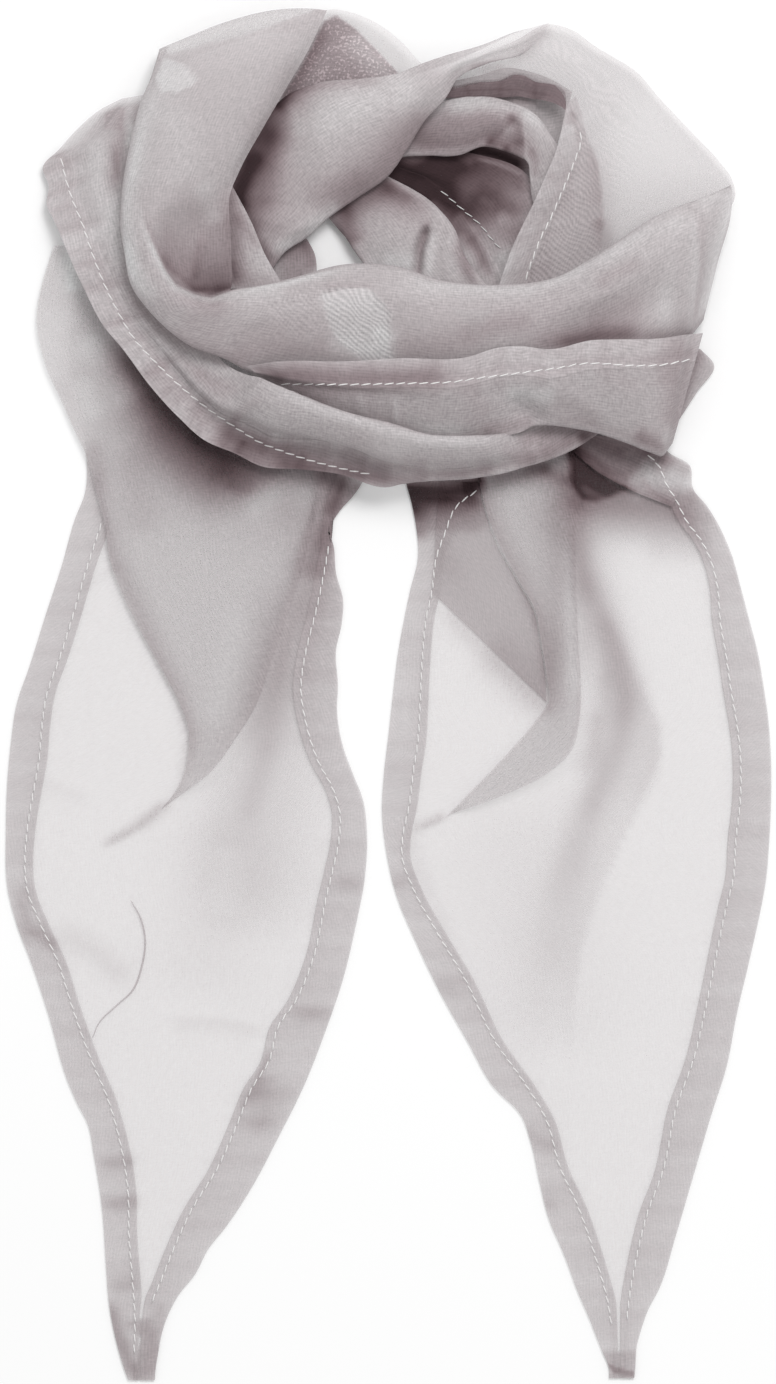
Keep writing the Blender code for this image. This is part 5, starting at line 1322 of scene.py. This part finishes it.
        (7, 7, 0.24, 302, 238, 311, 254, 314, 272), (12, 12, 0.16, 270, 256, 296, 246, 320, 240),
        (20, 20, 0.32, 292, 230, 296, 262, 300, 304),
    ],
}

for cloth in cloths:
    marks = [MARKS.get((cloth.node, kind), ()) for kind in ("folds", "veils", "shadows", "areas")]
    cloth.build(sheer, *marks)
    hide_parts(cloth.node)

# --------------------------------------------------------------------------- stitching


def stitches(name, host, line, pitch, lift=0.12, radius=0.20, material=cotton):
    """A row of separate stitches along a grid line, each a short soft dash on the cloth."""
    curve = np.array([plan(*p)[:2] for p in curve_through(line, 12)])
    step = pitch * MM
    long = STITCH_SHARE * step
    points, faces = [], []
    for k in range(int(lengths(curve)[-1] / step)):
        begin = (k + STITCH_START) * step
        stops = at_lengths(curve, np.linspace(begin, begin + long, STOPS))
        way = stops[-1] - stops[0]
        way = way / max(np.linalg.norm(way), 1e-9)
        side = np.array([-way[1], way[0]])
        start = len(points)
        for s, stop in enumerate(stops):
            x, y = stop + side * (s / (STOPS - 1) - 0.5) * STITCH_SLANT * long
            swell = math.sin(math.pi * (s + 0.7) / (STOPS + 0.4))
            z = host.height(x, y) + (lift * swell - STITCH_SUNK) * MM
            thick = radius * MM * (0.55 + 0.45 * swell)
            for a in range(SIDES):
                angle = 2 * math.pi * a / SIDES
                reach = math.cos(angle) * thick
                high = z + math.sin(angle) * thick * STITCH_FLAT
                points.append((x + side[0] * reach, y + side[1] * reach, max(high, 0.02 * MM)))
        for i in range(start, start + SIDES * (STOPS - 1), SIDES):
            for a in range(SIDES):
                b = (a + 1) % SIDES
                faces.append((i + a, i + b, i + SIDES + b, i + SIDES + a))
        faces.append(tuple(range(start + SIDES - 1, start - 1, -1)))
        faces.append(tuple(range(len(points) - SIDES, len(points))))
    piece = add_piece(name, points, faces, material)
    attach(piece, "root")


def part_of(line, low, high):
    """The points of a line with y between low and high."""
    return [p for p in line if low <= p[1] <= high]


stitches("stitch_tail_left_a", tail_left, part_of(LEFT["stitch"], 515, 1372), 2.9)
stitches("stitch_tail_left_b", tail_left, part_of(LEFT["far_stitch"], 540, 1320), 2.9)
stitches("stitch_tail_right_a", tail_right, part_of(RIGHT["stitch"], 485, 1372), 2.9)
stitches("stitch_tail_right_b", tail_right, part_of(RIGHT["far_stitch"], 454, 1330), 2.9)
stitches("stitch_front_band", front_band,
         [(280, 386), (350, 387), (400, 386), (455, 384), (475, 381), (500, 378), (530, 374),
          (560, 370), (575, 367), (640, 368), (660, 367), (680, 363), (692, 360)], 3.2)
stitches("stitch_lower_band", lower_band,
         [(61, 157), (65, 175), (72, 198), (83, 225), (95, 260), (105, 285), (120, 315),
          (135, 340), (150, 357), (170, 377), (190, 395), (205, 407), (225, 421), (245, 434),
          (260, 443), (280, 451), (300, 458), (345, 470), (380, 477)], 3.1)
stitches("stitch_top_loop", top_loop,
         [(580, 132), (580, 145), (575, 160), (568, 178), (560, 197), (550, 220), (540, 240),
          (533, 258), (523, 287)], 3.0)
stitches("stitch_inner_back", inner_back,
         [(440, 190), (448, 197), (465, 212), (480, 225), (492, 240), (503, 252)], 3.0,
         lift=0.34, radius=0.17, material=shaded_cotton)

# ------------------------------------------------------------------ floor, light and camera


def floor():
    """A plain white surface under the scarf."""
    material, _, shader = new_material("floor")
    shader({"Base Color": (0.93, 0.93, 0.93, 1), "Roughness": 0.9, "Specular IOR Level": 0.0})
    corners = [(x * FLOOR_HALF, y * FLOOR_HALF, FLOOR_TOP)
               for x, y in ((-1, -1), (1, -1), (1, 1), (-1, 1))]
    add_piece("floor", corners, [(0, 1, 2, 3)], material)


def area_light(name, place, size, power):
    """A square soft light that faces the middle of the scarf."""
    data = bpy.data.lights.new(name, "AREA")
    data.size = size
    data.energy = power
    lamp = bpy.data.objects.new(name, data)
    lamp.location = place
    lamp.rotation_euler = (-Vector(place)).to_track_quat("-Z", "Y").to_euler()
    bpy.context.scene.collection.objects.link(lamp)


def camera():
    """One that looks straight down, with the photo's frame at the height of the floor."""
    data = bpy.data.cameras.new("camera")
    data.sensor_fit = "VERTICAL"
    data.sensor_height = SENSOR
    data.lens = SENSOR * CAMERA_HEIGHT / (FRAME_HEIGHT * GRID)
    piece = bpy.data.objects.new("camera", data)
    piece.location = Vector(plan(*FRAME_CENTRE, CAMERA_HEIGHT / MM))
    bpy.context.scene.collection.objects.link(piece)
    bpy.context.scene.camera = piece


floor()
area_light("key", (0.55, 1.2, 1.9), 1.0, 29.0)
world = bpy.data.worlds.new("studio")
world.use_nodes = True
world.node_tree.nodes["Background"].inputs["Color"].default_value = (1, 1, 1, 1)
world.node_tree.nodes["Background"].inputs["Strength"].default_value = 0.68
bpy.context.scene.world = world
bpy.context.scene.view_settings.view_transform = "Standard"
camera()
